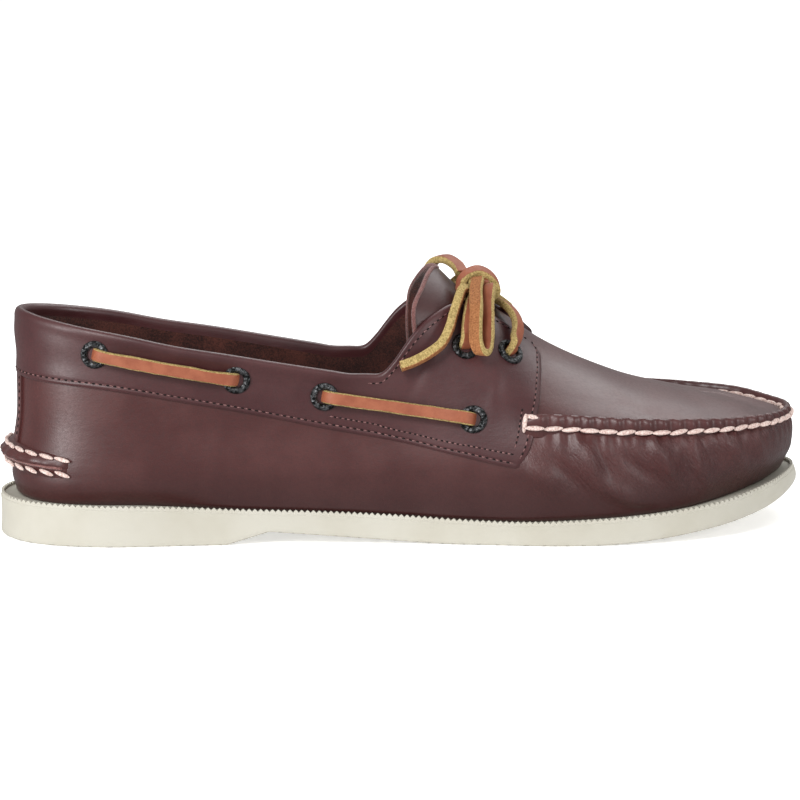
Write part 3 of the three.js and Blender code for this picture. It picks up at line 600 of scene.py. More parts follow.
def rubber():
    s = Surface("sole_rubber")
    at = s.place()
    cloud = s.noise(at, 26.0, 4.0, 0.6)
    fine = s.noise(at, 900.0, 3.0, 0.6)
    body = s.mix(s.range(cloud, 0.35, 0.7), colour(182, 179, 168), colour(174, 170, 157))
    scuffs = s.range(s.noise(s.stretch(at, (1.0, 1.0, 4.0)), 60.0, 6.0, 0.7), 0.62, 0.78)
    body = s.mix(scuffs * 0.22, body, colour(160, 154, 142))
    under = 1 - s.range(s.part(s.value("ShaderNodeNewGeometry", output="Normal"), 2), -0.9, -0.6)
    wave = s.value(
        "ShaderNodeTexWave", {"wave_type": "BANDS", "bands_direction": "X"}, output="Fac",
        Vector=at, Scale=62.0, Distortion=7.0, Detail=0.0,
    )
    cuts = (1 - s.range(wave, 0.02, 0.14)) * under
    # Painted shade: the bumped cuts are also painted darker, as if shaded inside.
    body = s.mix(cuts * 0.75, body, colour(120, 114, 100))
    normal = s.bump(1 - cuts, 0.9, 0.0012)
    normal = s.bump(fine, 0.08, 0.0003, normal)
    rough = 0.56 + cloud * 0.14
    return s.dress(Base_Color=body, Roughness=rough, Normal=normal, Specular_IOR_Level=0.4)


def blackened_metal():
    s = Surface("eyelet_metal")
    at = s.place()
    dents = s.cells(at, 900.0)
    tone = s.noise(at, 700.0, 4.0, 0.6)
    body = s.mix(s.range(tone, 0.38, 0.66), colour(20, 22, 23), colour(92, 93, 95))
    normal = s.bump(dents, 1.0, 0.0005)
    rough = 0.26 + tone * 0.25
    return s.dress(Base_Color=body, Roughness=rough, Metallic=0.75, Normal=normal)


def rawhide():
    """Flat lace: a smooth orange-tan grain face, and pale rough cut edges and back."""
    s = Surface("lace_rawhide")
    at = s.place()
    round_it = s.part(s.strip(), 1)
    fibres = s.noise(at, 1500.0, 5.0, 0.7)
    blotch = s.noise(at, 160.0, 3.0, 0.6)
    edge = s.range(fibres * 0.06 + round_it, 0.27, 0.3)
    frayed = round_it + fibres * 0.05
    back = s.range(frayed, 0.5, 0.53) * (1 - s.range(frayed, 0.78, 0.81))
    grain = s.mix(s.range(blotch, 0.3, 0.7), colour(146, 84, 58), colour(130, 69, 46))
    cut = s.mix(s.range(fibres, 0.36, 0.62), colour(134, 114, 66), colour(190, 165, 108))
    flesh = s.mix(s.range(fibres, 0.34, 0.66), colour(122, 74, 42), colour(172, 116, 72))
    body = s.mix(edge, grain, s.mix(back, cut, flesh))
    normal = s.bump(fibres * (0.25 + edge), 0.75, 0.0006)
    rough = 0.52 + edge * 0.4
    return s.dress(Base_Color=body, Roughness=rough, Normal=normal, Specular_IOR_Level=0.35)


def thread(name, light, dark, rough=0.7):
    s = Surface(name)
    at = s.place()
    twist = s.noise(at, 1300.0, 4.0, 0.65)
    body = s.mix(s.range(twist, 0.35, 0.65), dark, light)
    normal = s.bump(twist, 0.6, 0.0004)
    return s.dress(Base_Color=body, Roughness=rough, Normal=normal, Specular_IOR_Level=0.3)


BROWN = colour(65, 26, 25)
BROWN_WORN = colour(76, 33, 31)
BROWN_DARK = colour(42, 15, 15)
UPPER = leather("upper_leather", BROWN, BROWN_WORN, BROWN_DARK, wrinkles_and_tongue_shade=True)
BAND = leather("band_leather", colour(60, 24, 26), colour(71, 31, 32), BROWN_DARK)
RAW_EDGE = suede("raw_edge", colour(134, 94, 90), colour(78, 46, 44))
LINING = suede("lining_suede", colour(86, 46, 38), colour(36, 17, 15))
RUBBER = rubber()
METAL = blackened_metal()
RAWHIDE = rawhide()
WHITE_THREAD = thread("seam_thread", colour(218, 200, 192), colour(178, 148, 140))
PINK_THREAD = thread("stitch_thread", colour(140, 104, 102), colour(86, 54, 54))
# Painted shade for the needle holes: dark capsules between the fine stitches.
PINHOLE_SHADE = thread("pinhole_shade", colour(34, 16, 16), colour(14, 6, 6))


# Camera and light
def aim_camera():
    """A long lens from the outer side, a little above and behind square."""
    turn, rise = math.radians(-6.4), math.radians(10.5)
    distance, pixels_per_mm, photo_pixels, sensor = 2.2, 2.707, 800, 36
    back = Vector((
        math.sin(turn) * math.cos(rise), -math.cos(turn) * math.cos(rise), math.sin(rise),
    ))
    right = Vector((math.cos(turn), math.sin(turn), 0))
    up = back.cross(right)
    left_by, down_by = 3.5 / pixels_per_mm * MM, 3.0 / pixels_per_mm * MM
    target = Vector((0, 0, 0.045)) + Vector(SHIFT) - right * left_by + up * down_by
    data = bpy.data.cameras.new("camera")
    data.lens = sensor * pixels_per_mm * distance / MM / photo_pixels
    data.clip_end = 20
    camera = bpy.data.objects.new("camera", data)
    camera.matrix_world = Matrix((
        (right.x, up.x, back.x, 0), (right.y, up.y, back.y, 0), (right.z, up.z, back.z, 0),
        (0, 0, 0, 1),
    ))
    camera.location = target + back * distance
    bpy.context.collection.objects.link(camera)
    bpy.context.scene.camera = camera


def soft_box(name, at, size, power, look=(0, 0, 0.04)):
    data = bpy.data.lights.new(name, "AREA")
    data.shape = "RECTANGLE"
    data.size, data.size_y = size
    data.energy = power
    light = bpy.data.objects.new(name, data)
    light.location = at
    light.rotation_euler = (Vector(look) - Vector(at)).to_track_quat("-Z", "Y").to_euler()
    bpy.context.collection.objects.link(light)


def light_studio():
    deselect()
    bpy.ops.mesh.primitive_plane_add(size=12, location=(0, 0, 0))
    floor = named(bpy.context.object, "floor")
    s = Surface("floor_paper")
    floor.data.materials.append(s.dress(
        Base_Color=(0.9, 0.9, 0.9, 1), Roughness=1.0, Specular_IOR_Level=0.0,
        Emission_Color=(1, 1, 1, 1), Emission_Strength=0.46,
    ))
    floor.visible_glossy = False
    world = bpy.data.worlds.new("studio")
    world.use_nodes = True
    glow = world.node_tree.nodes["Background"]
    glow.inputs["Color"].default_value = (1, 1, 1, 1)
    glow.inputs["Strength"].default_value = 0.38
    bpy.context.scene.world = world
    bpy.context.scene.view_settings.view_transform = "Standard"
    soft_box("key", (-0.8, -1.3, 1.25), (0.55, 0.55), 20)
    soft_box("left", (-1.75, -1.15, 0.5), (0.4, 0.8), 23)
    soft_box("fill", (1.3, -1.1, 0.7), (0.4, 0.6), 9)
    soft_box("top", (0.45, 0.75, 1.15), (1.5, 0.8), 13)


aim_camera()
light_studio()


# Laces
FRAY = 0.05 * MM  # how rough a lace's cut edge is
SWAY = 0.09  # how much a lace's width wanders, as a share of it
END_ROUND = 0.1 * MM  # how far a lace's rounded end stands out


def ribbon(name, path, flats, width=LACE_WIDTH, thickness=LACE_THICKNESS, seed=1):
    """A flat strip with soft rough edges. flats says which way its grain face looks."""
    along = unit(np.gradient(path, axis=0))
    flat = unit(flats - along * np.sum(flats * along, 1)[:, None])
    across = unit(np.cross(along, flat))
    w, h = width / 2, thickness / 2
    section = [
        (-0.82 * w, h), (-0.4 * w, 1.05 * h), (0, 1.06 * h), (0.4 * w, 1.05 * h), (0.82 * w, h),
        (0.97 * w, 0.6 * h), (w, 0), (0.97 * w, -0.6 * h), (0.82 * w, -h), (0.4 * w, -1.04 * h),
        (0, -1.03 * h), (-0.4 * w, -1.04 * h), (-0.82 * w, -h), (-0.97 * w, -0.6 * h), (-w, 0),
        (-0.97 * w, 0.6 * h), (-0.82 * w, h),
    ]
    run = run_along(path)
    rings = []
    for k, (a, b) in enumerate(section):
        frayed = FRAY * wobble(run, seed * 31 + k % 16, 0.9 * MM)
        frayed = frayed + SWAY * w * wobble(run, seed * 17 + (1 if a > 0 else 2), 9 * MM)
        grow = 1 + frayed / w
        rings.append(path + across * (a * grow)[:, None] + flat * b)
    rings[-1] = rings[0]
    rings = np.stack(rings, 1)
    rounded = [
        (rings[k] * 0.97 + path[k] * 0.03)[None] + along[k] * way * END_ROUND
        for k, way in ((0, -1), (-1, 1))
    ]
    rings = np.concatenate([rounded[0], rings, rounded[1]])
    return weld(sheet(name, capped(rings, path[[0, -1]])))


def tube(name, path, radius, sides=8):
    """A round cord along a path."""
    along = unit(np.gradient(path, axis=0))
    side = unit(np.cross(along, np.array([0.3, 0.2, 1.0])))
    up = np.cross(side, along)
    turns = np.linspace(0, 2 * math.pi, sides + 1)
    turns[-1] = 0
    rings = np.stack([path + radius * (side * math.cos(t) + up * math.sin(t)) for t in turns], 1)
    return weld(sheet(name, capped(rings, path[[0, -1]])))


def lace_look(piece, replaced=()):
    return finish(piece, RAWHIDE, replaced, angle=50)


EYELETS = {
    "heel_rear": (0.1128, 0.603), "heel_front": (0.2832, 0.521), "waist_rear": (0.3903, 0.461),
    "waist_front": (0.5705, 0.4), "throat_rear": (0.564, 0.678), "throat_front": (0.62, 0.643),
}
SIDE_NAMES = {OUTER: "outer", INNER: "inner"}


def seats_of(side):
    """Each eyelet's place on the last and the way it looks."""
    along, up = np.array(list(EYELETS.values())).T
    x = x_of(along)
    w, level = locate(x, height_of(x, up), side)
    return dict(zip(EYELETS, zip(on_last(w, level), last_normal(w, level))))


SEATS = {side: seats_of(side) for side in SIDES}


def seat(name, side, out=OVERLAY):
    at, normal = SEATS[side][name]
    return at + normal * out, normal


SIDE_LACE_WIDTH = 4.7 * MM
BAR_LIFT = 2.4 * MM  # how far a side lace's bar stands off the leather
BAR_BEND = 3.2 * MM  # how far from its eyelet it has levelled out


def side_bar(side, rear, front, seed):
    """One outside bar of the side lace: up out of an eyelet, along, and down into the next."""
    (a, na), (b, nb) = seat(rear, side), seat(front, side)
    way = unit(b - a)

    def entry(at, normal, ahead):
        return [
            at - normal * LACE_INSIDE, at - normal * 0.6 * MM + ahead * 0.2 * MM,
            at + normal * BAR_LIFT + ahead * BAR_BEND,
        ]

    between = a - SHIFT + (b - a) * np.array([[0.25], [0.5], [0.75]])
    w, level = locate(between[:, 0], between[:, 2], side)
    middle = list(on_last(w, level, np.full(3, OVERLAY + BAR_LIFT + 0.2 * MM)))
    path = smooth_path(entry(a, na, way) + middle + entry(b, nb, -way)[::-1])
    share = np.linspace(0, 1, len(path))[:, None]
    flats = na * (1 - share) + nb * share
    ends = 1 - smooth(np.minimum(share, 1 - share), 0.02, 0.1)
    flats = flats + ends * way * np.where(share < 0.5, -2.5, 2.5)
    name = f"side_lace_{SIDE_NAMES[side]}_{rear}"
    return ribbon(name, path, flats, width=SIDE_LACE_WIDTH, seed=seed)


def dress_side_lace():
    """Two bars on each side."""
    for side in SIDES:
        for part, seed in (("heel", 3), ("waist", 8)):
            bar = side_bar(side, f"{part}_rear", f"{part}_front", seed + side)
            lace_look(bar, [f"lace_{SIDE_NAMES[side]}_{part}"])


# The throat lace's places, as the bow's below.
LACE_CENTRE = -3.5
CROSSING = (0.599, 0, 0.838)
RISES = {
    "throat_front": [(0.633, 18.3, 0.736), (0.632, 12, 0.778), (0.622, 5, 0.812)],
    "throat_rear": [(0.569, 25.8, 0.772), (0.5745, 20, 0.838), (0.5842, 10, 0.864)],
}


def strand(name, start_side, start, end_side, end, lift, seed):
    """One crossing of the throat lace: out of an eyelet, over the tongue and into another."""
    (a, na), (b, nb) = seat(start, start_side), seat(end, end_side)
    rise = [place(x, LACE_CENTRE + start_side * y, z) for x, y, z in RISES[start]]
    fall = [place(x, LACE_CENTRE + end_side * y, z) for x, y, z in RISES[end]][::-1]
    top = place(*CROSSING) + np.array([0, 0, lift])

    def entry(at, normal):
        clear = at + normal * 2.6 * MM + np.array([0, 0, 1.4 * MM])
        return [at - normal * LACE_INSIDE, at - normal * 0.4 * MM, clear]

    path = smooth_path(entry(a, na) + rise + [top] + fall + entry(b, nb)[::-1])
    share = np.linspace(0, 1, len(path))[:, None]
    middle = 1 - np.abs(2 * share - 1)
    low_look = unit(na + np.array([0.55, 0, -0.3]))
    flats = np.where(share < 0.5, low_look, nb) * (1 - middle)
    flats = flats + unit(np.array([0.5, 0, 1.0])) * middle
    ends = 1 - smooth(np.minimum(share, 1 - share), 0.03, 0.12)
    flats = unit(flats) + ends * np.array([0, 0, -1.6])
    return ribbon(name, path, flats, seed=seed)


def dress_throat_lace():
    """Two strands, the second one on top where they cross."""
    over = 0.95 * LACE_THICKNESS
    low = strand("throat_lace_low", OUTER, "throat_front", INNER, "throat_rear", 0, 21)
    high = strand("throat_lace_high", INNER, "throat_front", OUTER, "throat_rear", over, 22)
    lace_look(low, ["lace_throat"])
    lace_look(high)


# The bow's routes: share of the length, millimetres across, share of the height.
KNOT = [
    (0.583, -14.8, 0.856), (0.5755, -15.1, 0.847), (0.5675, -15.2, 0.856), (0.5642, -15.2, 0.878),
    (0.5655, -14.5, 0.899), (0.5685, -12.8, 0.923), (0.5765, -11.5, 0.945), (0.5883, -10.6, 0.956),
    (0.5997, -10.6, 0.942), (0.6081, -10.6, 0.913), (0.6112, -10.6, 0.884), (0.6085, -10.6, 0.862),
    (0.6015, -10.8, 0.856),
]
LOOP_OUTER = [
    (0.5862, -14.9, 0.928), (0.5809, -21.5, 0.895), (0.5779, -30, 0.846), (0.5755, -34.5, 0.779),
    (0.5745, -38, 0.719), (0.579, -38.7, 0.679), (0.5865, -36.7, 0.677), (0.5908, -33.7, 0.716),
    (0.5928, -29.5, 0.781), (0.5948, -23, 0.843), (0.598, -18, 0.886), (0.5995, -15.5, 0.901),
]
LOOP_INNER = [
    (0.5718, -2.5, 0.929), (0.5678, 2, 0.953), (0.5591, 6, 0.97), (0.5517, 9, 0.969),
    (0.544, 12.5, 0.954), (0.5386, 17, 0.91), (0.5389, 22, 0.843), (0.5446, 26, 0.786),
    (0.5554, 27.4, 0.777), (0.5678, 24.8, 0.825), (0.5772, 18, 0.875), (0.5839, 10.5, 0.902),
    (0.5866, 6, 0.913),
]
END_OUTER = [
    (0.5715, -16.2, 0.884), (0.5645, -19.8, 0.886), (0.5575, -24.6, 0.852), (0.551, -27.6, 0.803),
    (0.5446, -31.7, 0.756), (0.5342, -34.7, 0.7), (0.5181, -36.6, 0.66), (0.4993, -37.8, 0.626),
    (0.4826, -38.2, 0.604),
]
END_INNER = [
    (0.6023, 1.5, 0.907), (0.604, 8, 0.898), (0.604, 15, 0.86), (0.604, 21, 0.804),
    (0.603, 25.5, 0.738), (0.6007, 28.5, 0.671), (0.599, 30.5, 0.615),
]
KNOT_MIDDLE = [(0.5875, -15, 0.9), (0.5875, -9, 0.912), (0.5875, -3, 0.908), (0.5875, 1, 0.89)]


def bow_strip(name, node, route, axis, seed, thickness=LACE_THICKNESS):
    """A strip of the bow that turns about an axis, its grain face out of the turn or into it."""
    path = smooth_path([place(*row) for row in route])
    along = unit(np.gradient(path, axis=0))
    flats = np.cross(unit(np.array(axis, float)), along)
    piece = ribbon(name, path, flats, thickness=thickness, seed=seed)
    lace_look(piece, [node])


def dress_bow():
    bow_strip("bow_knot", "lace_knot", KNOT, (0, -1, -0.4), 31)
    bow_strip("bow_loop_outer", "lace_loop_outer", LOOP_OUTER, (0.77, -0.64, 0), 32)
    bow_strip("bow_loop_inner", "lace_loop_inner", LOOP_INNER, (0.77, 0.64, 0.1), 33)
    bow_strip("bow_end_outer", "lace_end_outer", END_OUTER, (0.2, 1, -0.42), 34, 3.1 * MM)
    bow_strip("bow_end_inner", "lace_end_inner", END_INNER, (1, 0, 0), 35)


def fill_knot():
    """The two loops run on through the knot, side by side."""
    path = smooth_path([place(*row) for row in KNOT_MIDDLE])
    flats = np.tile([0.1, -0.3, 1.0], (len(path), 1))
    wide, thick = 8.4 * MM, 4.2 * MM
    lace_look(ribbon("bow_middle", path, flats, wide, thick, 41))


dress_side_lace()
dress_throat_lace()
dress_bow()
fill_knot()


# Sole
TOOTH = 2.13 * MM
TOOTH_HEIGHT = 1.0 * MM
TOOTH_SHAPE = (0.0, 0.4, 1.0, 0.4)  # depth round one tooth
RIM_HEIGHT = 1.7 * MM
RIM_THICK = 0.9 * MM
TOE_LIFT = 3.5 * MM  # the worn-in toe stands higher off the floor
TOE_LEAN = 2.0 * MM  # how far the toe's side leans in at the top
TOE_TUCK = 3.0 * MM  # and turns in at the bottom
BOTTOM_EDGE = 1.4 * MM  # height of the rounded lower edge
HOLLOW = 0.25 * MM  # of the side wall, and how far the teeth stand back from it


def dress_sole():
    """The rubber: side wall, toothed rim, ledge and flat underside."""
    dense = np.linspace(0, AROUND, 4001)
    run = run_along(outline(dense))
    teeth = int(round(run[-1] / TOOTH))
    at = np.linspace(0, run[-1], teeth * len(TOOTH_SHAPE), endpoint=False)
    w = np.interp(at, run, dense)
    out = outline_normal(w)
    edge = outline(w) + out * (LEDGE * column("ledge", w))[:, None]
    valley = TOOTH_HEIGHT * np.tile(TOOTH_SHAPE, teeth)
    front = smooth(along_of(edge[:, 0]), 0.88, 0.995)

    def ring(grow, z, share):
        toe = front * (TOE_TUCK * (1 - share) ** 3.5 + TOE_LEAN * share**2.5)
        flat = edge + out * (grow - toe)[:, None]
        return np.concatenate([flat, z(flat[:, 0])[:, None]], 1)

    def low(up):
        return lambda x: sole_bottom(x) + TOE_LIFT * smooth(along_of(x), 0.7, 0.97) + up

    def top(down):
        return lambda x: sole_top(x) - down

    rings = [
        ring(-16 * MM, low(0), 0), ring(-8 * MM, low(0), 0), ring(-1.6 * MM, low(0), 0),
        ring(-0.7 * MM, low(0.15 * MM), 0), ring(-0.2 * MM, low(0.6 * MM), 0.04),
        ring(0, low(BOTTOM_EDGE), 0.1),
    ]
    for share in (0.2, 0.35, 0.5, 0.65, 0.8):
        def between(x):
            z0, z1 = low(BOTTOM_EDGE)(x), top(RIM_HEIGHT + 0.3 * MM)(x)
            return z0 + (z1 - z0) * (share - 0.1) / 0.8

        rings.append(ring(-HOLLOW * math.sin(math.pi * share), between, share))
    rings += [
        ring(0, top(RIM_HEIGHT + 0.25 * MM), 0.9), ring(-0.2 * MM, top(RIM_HEIGHT), 0.93),
        ring(-HOLLOW, top(valley), 1), ring(-HOLLOW - RIM_THICK, top(valley), 1),
        ring(-0.3 * MM - RIM_THICK, top(TOOTH_HEIGHT + 0.5 * MM), 1),
        ring(-8 * MM, top(TOOTH_HEIGHT), 1), ring(-16 * MM, top(TOOTH_HEIGHT), 1),
    ]
    points = np.stack(rings, 1) + SHIFT
    points = np.concatenate([points, points[:1]], 0)
    piece = weld(sheet("sole", points), 1e-5)
    bpy.ops.object.mode_set(mode="EDIT")
    bpy.ops.mesh.select_all(action="DESELECT")
    bpy.ops.mesh.select_non_manifold()
    bpy.ops.mesh.edge_face_add()
    bpy.ops.mesh.select_all(action="SELECT")
    bpy.ops.mesh.normals_make_consistent(inside=False)
    bpy.ops.object.mode_set(mode="OBJECT")
    finish(piece, RUBBER, ["outsole"], angle=30)


dress_sole()


# Upper
def throat_level(w, low=1.5):
    """The level of the upper's free edge at w: the topline, or the side of the throat."""

    def over(level):
        point = last_point(w, level)
        x, y, z = point[..., 0], point[..., 1], point[..., 2]
        roll = COLLAR_ROLL * 0.6 * (1 - smooth(x, COLLAR_CORNER - 0.012, COLLAR_CORNER))
        above = z - (TOPLINE(x) - roll)
        inside = BALL_WIDTH * THROAT_HALF(x) - np.abs(y - THROAT_CENTRE)
        slot = np.where(x > THROAT_REAR, inside, -1)
        return np.maximum(np.where(x < TOPLINE_FRONT, above, -1), slot)

    return bisect(over, np.full(np.shape(w), low), np.full(np.shape(w), float(CROWN)))


def front_of(side):
    """The eyestay's front edge: the place round the shoe for each level."""
    along, up = np.array(EYESTAY_FRONT).T
    x = x_of(along)
    w, level = locate(x, height_of(x, up), side)
    order = np.argsort(level)
    return Curve(list(zip(level[order], w[order])))


FRONTS = {side: front_of(side) for side in SIDES}
FIRST_GUESS = 6.8  # the band's front ends, about


def band_place(s, t):
    """The collar band and eyestays: s from -1 at the outer front to 1 at the inner front,
    t from 0 at the lower edge to 1 at the free edge."""
    s, t = np.broadcast_arrays(np.asarray(s, float), np.asarray(t, float))
    level = np.full(s.shape, 3.0)
    w = s * FIRST_GUESS
    for _ in range(7):
        front = np.where(s < 0, FRONTS[OUTER](level), FRONTS[INNER](level))
        w = 0.5 * w + 0.5 * np.abs(s) * front
        low = level_where(w, BAND_EDGE)
        high = throat_level(w)
        level = low + (high - low) * t
    front = np.where(s < 0, FRONTS[OUTER](level), FRONTS[INNER](level))
    return np.abs(s) * front, level


# Creases: millimetres along and up, length, width, slant in degrees, height.
BAND_CREASES = [
    (2, 62, 8, 2.2, 62, -0.35), (30, 58, 9, 2.4, 74, 0.3), (8, 70, 9, 2.2, 58, 0.35),
]
BAND_ROW = 2.0 * MM  # the stitches' distance from the band's edges
ROLL_SWELL = 0.75  # how much fuller the rolled collar is, in millimetres


def dress_band():
    """The collar band with its rolled edge, and the eyestays that it runs into."""
    s_lines = np.concatenate([
        np.linspace(-1, -0.985, 5)[:-1], np.linspace(-0.985, 0.985, 560),
        np.linspace(0.985, 1, 5)[1:],
    ])
    t_lines = np.concatenate([
        np.linspace(0, 0.09, 9), np.linspace(0.09, 0.9, 26)[1:], np.linspace(0.9, 1, 9)[1:],
    ])
    s, t = np.meshgrid(s_lines, t_lines, indexing="ij")
    w, level = band_place(s, t)
    rest = on_last(w, level)
    height = np.linalg.norm(rest[:, -1] - rest[:, 0], axis=-1)[:, None] + 0.004
    from_low, from_top = t * height, (1 - t) * height
    front_run = np.linalg.norm(rest - np.where(s[..., None] < 0, rest[:1], rest[-1:]), axis=-1)
    out = np.full(s.shape, OVERLAY) + bumps(rest, BAND_CREASES)
    out = out - swell(from_low, 0.45, 0.5) - swell(front_run, 0.45, 0.6)
    out = out - swell(from_low - BAND_ROW, 0.22, 0.55)
    puffed = 1 - smooth(rest[..., 0], COLLAR_CORNER - 0.02, COLLAR_CORNER + 0.004)
    out = out + puffed * swell(from_top, ROLL_SWELL, 2.6)
    lifted = smooth(rest[..., 0], 0.024, 0.034) * (s > 0)
    out = out + lifted * swell(np.minimum(from_top, front_run), 3.0, 5)
    face = on_last(w, level, out)
    edge_w, edge_level = w[:, -1], level[:, -1]
    normal = last_normal(edge_w, edge_level)
    upward = unit(face[:, -1] - face[:, -3])
    roll = (WALL + OVERLAY + ROLL_SWELL * MM * puffed[:, -1]) / 2
    centre = face[:, -1] - normal * roll[:, None]
    arc = [
        centre + normal * (roll * math.cos(a))[:, None] + upward * (roll * math.sin(a))[:, None]
        for a in np.linspace(0, math.pi, 9)[1:]
    ]
    facing = [
        on_last(edge_w, edge_level - drop, np.full(edge_w.shape, -WALL))
        for drop in (0.06, 0.16, 0.3)
    ]
    skirt = on_last(w[:, 0], level[:, 0], np.full(w[:, 0].shape, -0.3 * MM))
    tuck = on_last(w[:, 0], level[:, 0], np.full(w[:, 0].shape, 0.15 * MM))
    points = np.concatenate(
        [skirt[:, None], tuck[:, None], face, np.stack(arc, 1), np.stack(facing, 1)], 1
    )
    ends = []
    for k in (0, -1):
        inward = np.concatenate([
            np.zeros((2, 3)), last_normal(w[k], level[k]) * -(OVERLAY + 0.2 * MM),
            np.zeros((len(arc) + len(facing), 3)),
        ])
        ends.append((points[k] + inward)[None])
    points = np.concatenate([ends[0], points, ends[1]], 0)
    piece = sheet("collar_band", points, turned=True)
    finish(piece, BAND, ["upper"], angle=40)


RIDGE_START = (0.020, 0.034)  # from where to where, in x, the side wall rises to the ridge
WAIST_FILL = {OUTER: 3.0 * MM, INNER: 1.5 * MM}  # how much fuller the wall is by the sole
HEEL_FILL, TOE_FILL = 2.3 * MM, 1.6 * MM
FOOT_DROP, FOOT_IN = 1.3 * MM, 1.4 * MM  # its foot goes down and in behind the sole's rim
WALL_CREASES = [
    (62.5, 31, 8, 3.2, -67, 2.6), (74, 19.5, 10, 3.4, -27, 2.5), (81, 28, 9, 2.9, -41, -1.9),
    (89.5, 31, 8, 2.6, -57, 2.8), (99, 29, 8, 3.0, -69, -1.5), (116.5, 32.5, 7, 2.6, -48, 2.4),
    (108.5, 32, 7, 2.6, -60, -1.1), (45, 26, 9, 4.2, -35, 1.6), (54.5, 26, 9, 3.0, -50, -1.7),
    (104, 26, 8, 2.4, -62, 1.0), (128, 31, 6, 2.4, -60, 0.9), (69, 29, 7, 2.2, -60, -1.0),
]


def wall_top(w):
    """Where the side wall ends: under the band, and further on at the moccasin seam."""
    def line(x):
        return BAND_EDGE(x) + 0.009

    band = level_where(w, line)
    x = last_point(w, np.full(np.shape(w), float(SEAM)))[..., 0]
    share = smooth(x, *RIDGE_START)
    return band * (1 - share) + SEAM * share


def dress_wall():
    """The side wall, all round, from the sole to the band and the moccasin seam."""
    w = np.linspace(-TOE, TOE, 760)
    t = np.linspace(0, 1, 44)
    w, t = np.meshgrid(w, t, indexing="ij")
    level = wall_top(w) * t
    rest = on_last(w, level)
    out = bumps(rest, WALL_CREASES)
    forefoot = smooth(rest[..., 0], 0.04, 0.055)
    run = run_along(rest[:, -1])
    wall_height = 26 * MM
    gather = np.cos(2 * math.pi * run / PUCKER + 0.9 * wobble(run, 7, 18 * MM))[:, None]
    out = out + forefoot * (0.55 + 0.42 * gather) * swell((1 - t) * wall_height, 1, 6)
    out = out * smooth(t, 0.0, 0.12)
    points = on_last(w, level, out)
    row = np.abs(w)
    waist = smooth(row, 2.2, 3.4) * (1 - smooth(row, 8.4, 9.6))
    full = np.where(w < 0, WAIST_FILL[OUTER], WAIST_FILL[INNER]) * waist
    full = full * np.clip(1 - level / 0.9, 0, 1) ** 1.5
    ends = HEEL_FILL * (1 - smooth(row, 1.2, 2.6)) + TOE_FILL * smooth(row, 9.8, 11.4)
    full = full + ends * np.clip(1 - level, 0, 1) ** 0.9
    points[..., :2] += outline_normal(w) * full[..., None]
    foot = points[:, :1] - np.array([0, 0, FOOT_DROP])
    foot[:, 0, :2] -= outline_normal(w[:, 0]) * FOOT_IN
    points = np.concatenate([foot, points], 1)
    piece = weld(sheet("side_wall", points, turned=True), 1e-5)
    finish(piece, UPPER, angle=50)


TONGUE_CREST = 0.543
TONGUE_LOWEST = 0.052  # its cut edge is shown above this height
TONGUE_ARCH = 2.0 * MM  # how much its middle stands up at the rear
TONGUE_EDGES = {
    OUTER: [
        (0.53, 0.925), (0.519, 0.88), (0.506, 0.81), (0.505, 0.72), (0.51, 0.6), (0.52, 0.5),
        (0.53, 0.4),
    ],
    INNER: [
        (0.538, 0.93), (0.529, 0.89), (0.519, 0.81), (0.516, 0.72), (0.516, 0.6), (0.52, 0.5),
        (0.53, 0.4),
    ],
}


def tongue_rear(side):
    """The tongue's free edge: the place round the shoe for each level."""
    along, up = np.array(TONGUE_EDGES[side][::-1]).T
    x = x_of(along)
    w, level = locate(x, height_of(x, up) + TONGUE_DROP, side)
    top = np.full(1, x_of(TONGUE_CREST))

    def past(row):
        return last_point(side * row, np.full(1, CROWN))[..., 0] - top

    crest = bisect(past, 0 * top, TOE + 0 * top)
    below = [(a, abs(b)) for a, b in sorted(zip(level, w)) if a < 4.9]
    return Curve(below + [(float(CROWN), float(crest[0]))])


REARS = {side: tongue_rear(side) for side in SIDES}


def plug_low(w):
    """The plug's lower edge: the moccasin seam, and under the eyestay further back."""
    x = last_point(w, np.full(np.shape(w), 3.0))[..., 0]
    hidden = throat_level(w) - 1.1
    share = smooth(x, 0.018, 0.037)
    return hidden * (1 - share) + (SEAM + 0.02) * share


def plug_place(a, b):
    """a from 0 at the tongue's edge to 1 at the toe, b from -1 outer to 1 inner."""
    a, b = np.broadcast_arrays(np.asarray(a, float), np.asarray(b, float))
    side = np.where(b < 0, OUTER, INNER)
    level = CROWN - 2.0 * np.abs(b)
    for _ in range(6):
        rear = np.where(b < 0, REARS[OUTER](level), REARS[INNER](level))
        row = rear + (TOE - rear) * a
        low = plug_low(side * row)
        level = CROWN - (CROWN - low) * np.abs(b)
    return side * row, level


